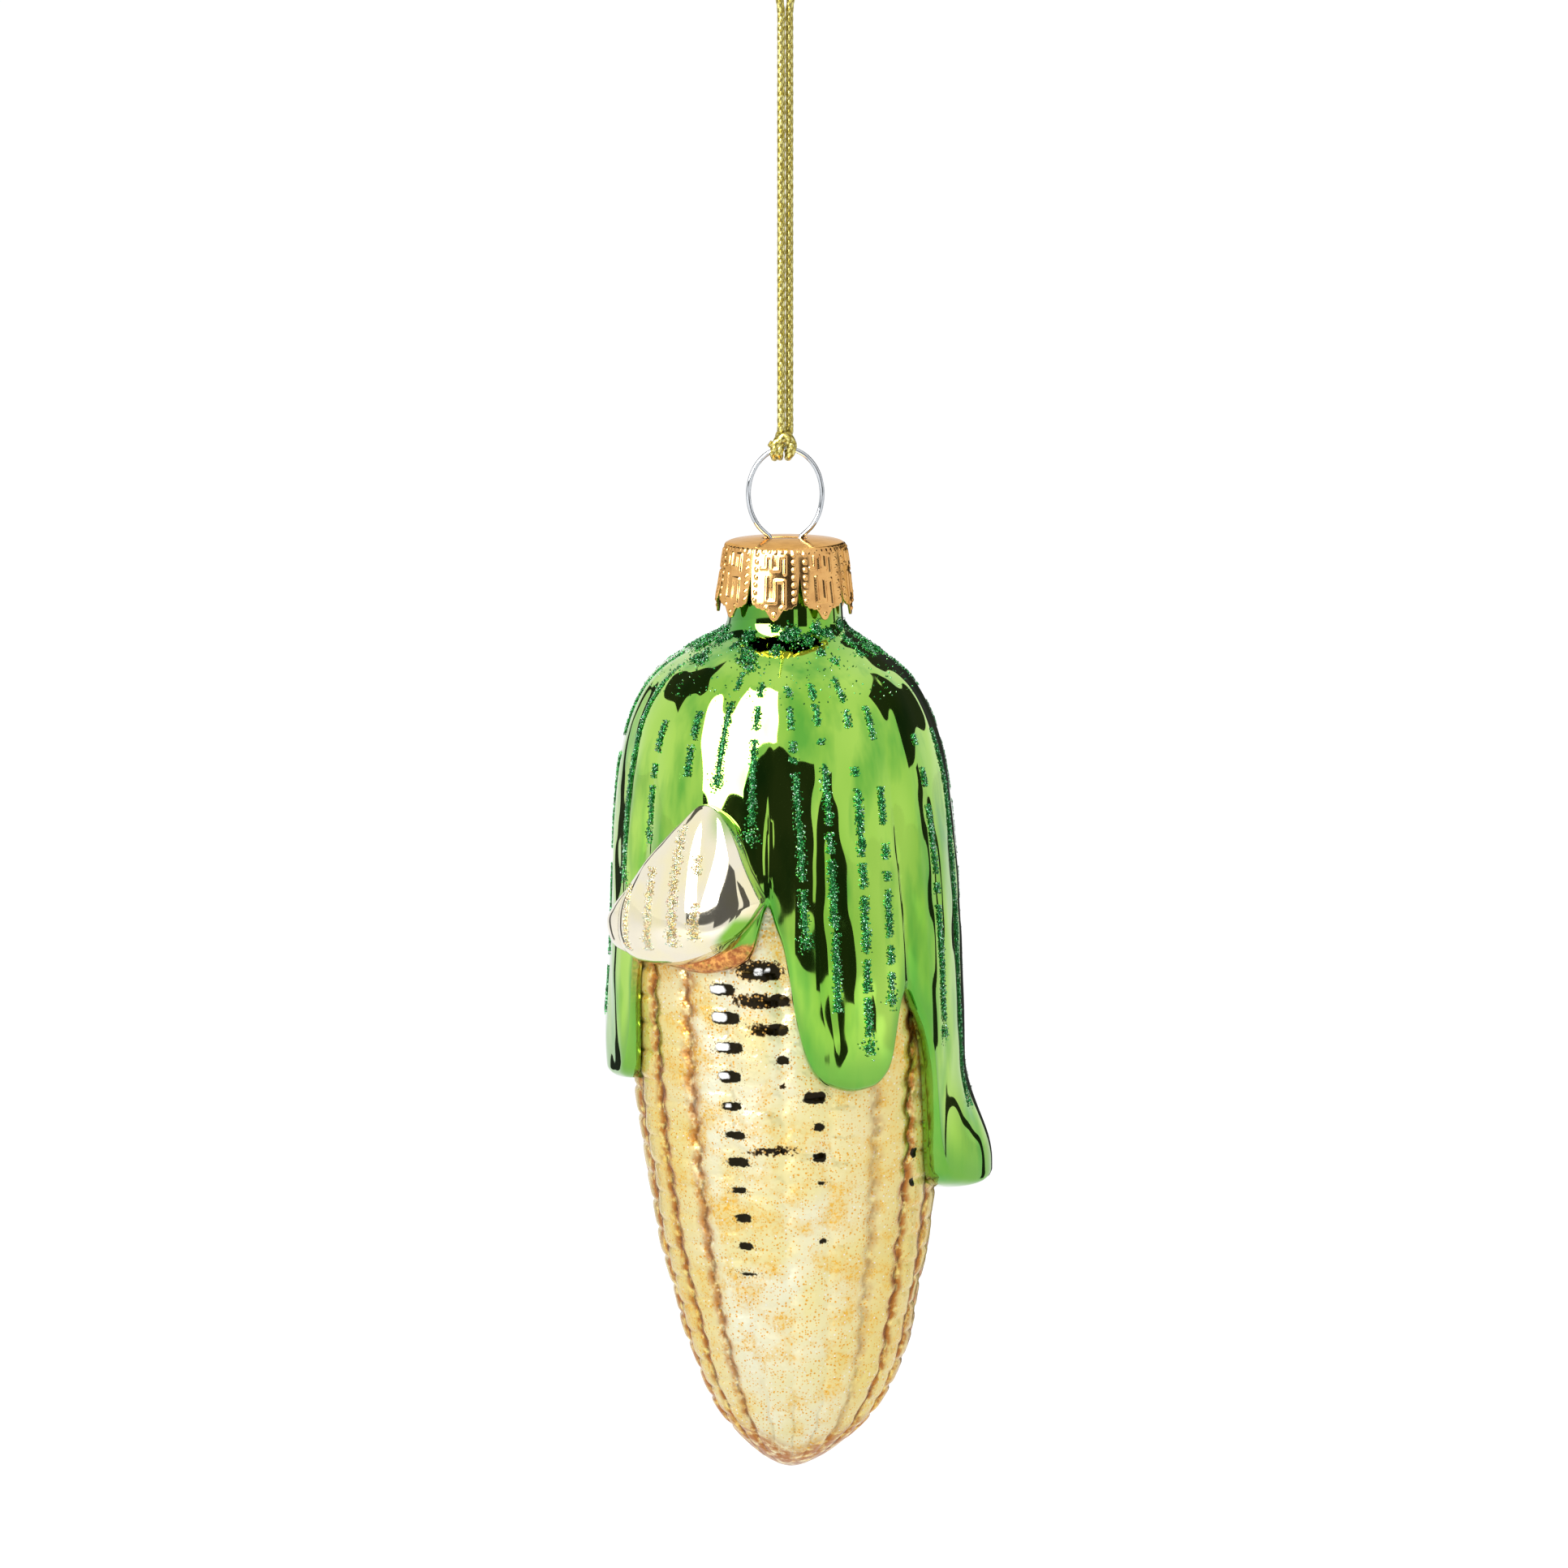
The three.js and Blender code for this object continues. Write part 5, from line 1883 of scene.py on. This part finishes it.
class Side(Enum):
    """The cord's two strands."""

    LEFT = -1
    RIGHT = 1


@dataclass(frozen=True)
class CordStrand:
    """One of the cord's two strands, from the hitch up to its eye."""

    side: Side
    diameter: float = 1.0
    depth: float = 0.42
    route: Keys = (
        (0.5, -61.5), (0.5, -58), (0.5, -53), (0.5, -48), (0.5, -42), (0.5, -36), (0.5, -30),
        (0.5, -24), (0.5, -18), (0.5, -13), (0.52, -10.4), (0.85, -8.3), (1.55, -6.4),
        (2.05, -4.5), (2.0, -2.7), (1.4, -1.2), (0.7, -0.3),
    )

    def node(self) -> str:
        """The CAD node that the strand stands for."""
        return f"cord_strand_{self.side.name.lower()}"

    def path(self) -> Array:
        """The line that the strand follows.

        Returns:
            Evenly spaced points in metres.
        """
        side = self.side.value
        points = [(side * x, side * self.depth, z) for x, z in self.route]
        return even_path(smooth_path(np.array(points) * MM, 900), 560)

    def build(self) -> Object:
        """Makes the strand as one closed tube.

        Returns:
            The object.
        """
        return yarn_object(f"{self.node()}_yarn", [(self.path(), self.diameter * MM)])

    def declare(self, obj: Object, knots: Sequence[Object]) -> None:
        """Does nothing with the strand.

        Args:
            obj: The strand. Not used.
            knots: The pieces that are on it. Not used.
        """


@dataclass(frozen=True)
class CordHitch:
    """The lark's head by which the doubled cord holds the ring."""

    # Across, forwards, up from the ring's top, and half the yarn's width, from foot to foot
    route: Sequence[Four] = (
        (-0.5, 0.42, 3.2, 0.5), (-0.5, 0.3, 2.4, 0.54), (-0.8, -0.44, 1.51, 0.5),
        (-1.2, -1.0, 0.32, 0.39), (-1.4, -0.7, -0.84, 0.34), (-1.34, 0.33, -0.98, 0.42),
        (-1.4, 1.1, -0.34, 0.48), (-1.2, 1.21, 0.65, 0.59), (-0.65, 1.21, 1.4, 0.65),
        (0.2, 1.21, 1.73, 0.61), (0.65, 1.16, 1.19, 0.67), (0.8, 1.16, 0.22, 0.61),
        (0.5, 0.94, -0.5, 0.54), (0.32, 0.11, -0.95, 0.43), (0.25, -0.75, -0.49, 0.34),
        (0.05, -0.86, 0.43, 0.38), (-0.38, 0.06, 1.03, 0.38), (-0.63, 0.99, 0.59, 0.5),
        (-0.71, 0.99, -0.38, 0.5), (-0.66, 0.11, -0.93, 0.41), (-0.68, -0.86, -0.22, 0.36),
        (0.05, -1.04, 0.76, 0.41), (0.4, -0.88, 1.73, 0.49), (0.5, -0.42, 2.6, 0.54),
        (0.5, -0.42, 3.2, 0.5),
    )
    tail: Sequence[Four] = (
        (-1.15, 1.1, 0.5, 0.44), (-1.6, 1.2, 0.74, 0.44), (-1.98, 1.25, 0.98, 0.4),
    )
    ring_top: float = -64.65  # below the hook

    def build(self) -> Object:
        """Makes the hitch and the short tail beside it.

        Returns:
            The object.
        """
        lines = []
        for route, steps in ((self.route, 420), (self.tail, 24)):
            points = np.array([(x, -y, z + self.ring_top, r) for x, y, z, r in route]) * MM
            line = even_path(smooth_path(points, 900), steps)
            lines.append((line[:, :3], 2 * line[:, 3:]))
        return yarn_object("cord_hitch_yarn", lines)


@dataclass(frozen=True)
class CordEndKnot:
    """The overhand knot that ties the cord's two ends, with their short tails."""

    diameter: float = 1.1
    size: float = 0.5
    height: float = 1.5
    tail_diameter: float = 1.0
    tail: Keys = ((0.5, 1.7), (0.8, 3.6), (1.4, 7.5))  # places across and up

    def build(self) -> Object:
        """Makes the knot as a trefoil and two tails.

        The trefoil's x is sin t + 2 sin 2t, its y is 1.1 sin 3t and its z is cos t - 2 cos 2t.

        Returns:
            The object.
        """
        t = np.linspace(0, 2 * np.pi, 700)
        x, z = np.sin(t) + 2 * np.sin(2 * t), np.cos(t) - 2 * np.cos(2 * t)
        loop = np.stack([x, 1.1 * np.sin(3 * t), z], -1)
        knot = (loop * self.size + np.array([0, 0, self.height])) * MM
        lines = [(even_path(knot, 240), self.diameter * MM)]
        for side in (-1, 1):
            tail = np.array([(side * x, side * CordStrand.depth, z) for x, z in self.tail]) * MM
            lines.append((even_path(smooth_path(tail, 100), 70), self.tail_diameter * MM))
        return yarn_object("cord_end_knot_yarn", lines)


@dataclass(frozen=True)
class Cord:
    """The doubled cord: its two strands, the hitch on the ring and the knot of its ends."""

    strands: Sequence[CordStrand] = (CordStrand(Side.LEFT), CordStrand(Side.RIGHT))
    hitch: CordHitch = CordHitch()
    knot: CordEndKnot = CordEndKnot()
    finish: Yarn = Yarn()

    def build(self) -> dict[str, Object]:
        """Makes the pieces.

        Returns:
            Each piece by the CAD node that it stands for.
        """
        pieces = {"cord_hitch": self.hitch.build(), "cord_end_knot": self.knot.build()}
        return pieces | {strand.node(): strand.build() for strand in self.strands}

    def dress(self, pieces: dict[str, Object]) -> None:
        """Args:
            pieces: What build made.
        """
        yarn = self.finish.make()
        for node, obj in pieces.items():
            obj.data.materials.append(yarn)
            settle(obj, "cord", [node])
        for strand in self.strands:
            strand.declare(pieces[strand.node()], [pieces["cord_hitch"], pieces["cord_end_knot"]])


# Studio


def aim(obj: Object, target: Vector) -> None:
    """Turns a lamp or camera towards a point.

    Args:
        obj: The lamp or camera.
        target: The point in metres.
    """
    obj.rotation_euler = (target - obj.location).to_track_quat("-Z", "Y").to_euler()
    bpy.context.scene.collection.objects.link(obj)


@dataclass(frozen=True)
class Card:
    """A card of the studio, bright or dark, that shows only in reflections.

    It is a patch of a sphere round the ornament, bent to lie on the floor. Its directions are
    from the ornament, in degrees: round from the front and up from the level.
    """

    name: str
    left: float
    right: float
    low: float
    high: float
    strength: float = 0.035
    low_rise: float = 0.0  # how much higher the lower edge ends at the right
    high_rise: float = 0.0
    reach: float = 1.5  # the sphere's radius in metres
    middle: float = -0.107  # the height of its centre in metres
    drop: float = 0.158  # how far below the centre it may reach, in metres
    columns: int = 12
    rows: int = 8

    def points(self) -> Array:
        """The grid of points, from the lower left.

        Returns:
            Points in metres, one row after another.
        """
        across, up = np.meshgrid(np.linspace(0, 1, self.columns), np.linspace(0, 1, self.rows))
        low, high = self.low + self.low_rise * across, self.high + self.high_rise * across
        e = np.radians(low + (high - low) * up)
        a = np.radians(self.left + (self.right - self.left) * across)
        out = np.minimum(self.reach, self.drop / np.maximum(np.sin(-e), 1e-6))[..., None]
        points = np.stack([np.sin(a) * np.cos(e), -np.cos(a) * np.cos(e), np.sin(e)], -1) * out
        points[..., 2] += self.middle
        return points.reshape(-1, 3)

    def build(self) -> None:
        """Makes the card and its light."""
        quads = grid_faces(self.rows, self.columns, rows_close=False, columns_close=False)
        obj = make_mesh(self.name, self.points(), quads)
        obj.visible_camera = obj.visible_diffuse = obj.visible_shadow = False
        material = bpy.data.materials.new(self.name)
        material.use_nodes = True
        nodes = material.node_tree.nodes
        nodes.clear()
        light = nodes.new("ShaderNodeEmission")
        light.inputs["Strength"].default_value = self.strength
        end = nodes.new("ShaderNodeOutputMaterial")
        material.node_tree.links.new(light.outputs[0], end.inputs["Surface"])
        obj.data.materials.append(material)


@dataclass(frozen=True)
class Lamp:
    """A square soft lamp that no mirror shows."""

    name: str
    place: Triple
    watts: float
    size: float = 0.9

    def build(self, target: Vector) -> None:
        """Adds the lamp.

        Args:
            target: The point in metres that it faces.
        """
        data = bpy.data.lights.new(self.name, "AREA")
        data.size, data.energy = self.size, self.watts
        obj = bpy.data.objects.new(self.name, data)
        obj.location = self.place
        obj.visible_glossy = False
        aim(obj, target)


@dataclass(frozen=True)
class Studio:
    """A white floor and backdrop, soft lamps, cards and the camera."""

    distance: float = 2.2
    elevation: float = 8.3
    frame_width: float = 0.1932
    target: Triple = (-0.00015, 0.0, -0.10616)
    floor_height: float = -0.27
    floor_half: float = 12.0
    floor_colour: Colour = colour(240, 240, 240)
    floor_glow: float = 0.5  # how bright it looks by itself
    floor_mirrored: float = 0.75  # the share of that glow that mirrors show
    ambient: float = 0.55  # the surroundings' strength as a light
    lamps: Sequence[Lamp] = (Lamp("key", (-1.0, -1.3, 0.9), 9.0), Lamp("fill", (1.3, -0.9, 0.4), 4.0))
    cards: Sequence[Card] = (
        Card("softbox", -62, -30, 5.5, 76, 14.0),
        Card("softbox_right", -30, -7, 8, 76, 14.0, low_rise=16),
        Card("dark_mid", -30, -5, -3, 7, high_rise=14),
        Card("dark_front", -5, 17, -5.5, 21),
        Card("dark_front_right", 25, 44, -6.8, 15),
        Card("dark_front_low", 17, 25, -8.3, -3),
        Card("dark_front_left", -60, -30, 0, 5.5),
        Card("dark_left", -146, -98, 28, 54),
        Card("dark_right", 100, 140, 8, 40),
        Card("dark_edge_right", 150, 172, -25, 40),
        Card("dark_strip_right", 112, 118, -30, 6),
        Card("dark_strip_left", -146, -138, -25, 20),
    )

    def camera(self) -> None:
        """Places the camera at the photograph's viewing angle."""
        up = math.radians(self.elevation)
        target = Vector(self.target)
        data = bpy.data.cameras.new("camera")
        data.lens = data.sensor_width * self.distance / self.frame_width
        data.clip_end = 50
        obj = bpy.data.objects.new("camera", data)
        obj.location = target + Vector((0, -math.cos(up), math.sin(up))) * self.distance
        aim(obj, target)
        bpy.context.scene.camera = obj

    def world(self) -> None:
        """Makes the surroundings white, and dimmer as a light on matt surfaces."""
        world = bpy.data.worlds.new("studio")
        bpy.context.scene.world = world
        world.use_nodes = True
        nodes, links = world.node_tree.nodes, world.node_tree.links
        rays = nodes.new("ShaderNodeLightPath")
        seen = rays.outputs["Is Camera Ray"]
        for kind in ("Is Glossy Ray", "Is Transmission Ray"):
            either = nodes.new("ShaderNodeMath")
            either.operation = "MAXIMUM"
            links.new(seen, either.inputs[0])
            links.new(rays.outputs[kind], either.inputs[1])
            seen = either.outputs[0]
        strength = nodes.new("ShaderNodeMapRange")
        strength.inputs["To Min"].default_value = self.ambient
        strength.inputs["To Max"].default_value = 1.0
        links.new(seen, strength.inputs["Value"])
        background = nodes["Background"]
        background.inputs["Color"].default_value = (1, 1, 1, 1)
        links.new(strength.outputs[0], background.inputs["Strength"])

    def floor(self) -> None:
        """Lays the white floor, which keeps the ornament's shadow."""
        corners = np.array([(-1, -1, 0), (1, -1, 0), (1, 1, 0), (-1, 1, 0)]) * self.floor_half
        corners[:, 2] = self.floor_height
        obj = make_mesh("floor", corners, np.array([[0, 1, 2, 3]]))
        p = Paint("floor", 0.0, 0.9)
        p.set("Base Color", self.floor_colour)
        path = p.nodes.new("ShaderNodeLightPath")
        mirrored = p.times(path.outputs["Is Glossy Ray"], self.floor_mirrored)
        seen = p.calc("MAXIMUM", path.outputs["Is Camera Ray"], mirrored)
        p.set("Emission Color", (1.0, 1.0, 1.0))
        p.set("Emission Strength", p.times(seen, self.floor_glow))
        obj.data.materials.append(p.material)

    def build(self) -> None:
        """Sets up the floor, the surroundings, the lamps and the cards."""
        self.floor()
        self.world()
        for lamp in self.lamps:
            lamp.build(Vector(self.target))
        for card in self.cards:
            card.build()
        bpy.context.scene.view_settings.view_transform = "Standard"


def settle(obj: Object, body: str, nodes: Sequence[str]) -> None:
    """Lets a piece stand for CAD nodes and move with their body.

    Args:
        obj: The piece.
        body: The body that it moves with.
        nodes: The CAD nodes that it stands for.
    """
    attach(obj, body)
    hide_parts(*nodes)
    log.info("%s: %d faces on %s", obj.name, len(obj.data.polygons), body)


def main() -> None:
    """Builds the studio and the ornament."""
    logging.basicConfig(level=logging.INFO, format="%(name)s: %(message)s")
    studio = Studio()
    studio.camera()
    cord = Cord()
    cord.dress(cord.build())
    studio.build()
    fold = FoldedLeaf()
    lining = [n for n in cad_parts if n.startswith("lining_glitter")]
    emerald = Glitter("vein_glitter_flakes", Sparkle.EMERALD, VEINS, HUSK.radius, collar=6400)
    pale = Glitter(
        "lining_glitter_flakes", Sparkle.PALE, FOLD_LINES, fold.surface(), width=1.15, glue=0.0,
        per_area=34.0, flake=(0.11, 0.2), blob=0.6,
    )
    pieces = (
        (Cob(), "bulb", ["glass_body"], "cob_lacquer"),
        (HUSK, "bulb", ["husk"], "husk_lacquer"),
        (fold, "bulb", ["folded_leaf"], "lining_lacquer"),
        (emerald, "bulb", ["vein_glitter"], "green_glitter"),
        (pale, "bulb", lining, "pale_glitter"),
        (Cap(), "cap", ["cap"], "cap_metal"),
        (HangerWire(), "hanger", ["hanger_wire"], "wire_metal"),
    )
    for maker, body, nodes, slot in pieces:
        obj = maker.build()
        maker.dress(obj)
        settle(obj, body, nodes)


if __name__ == "__main__":
    main()
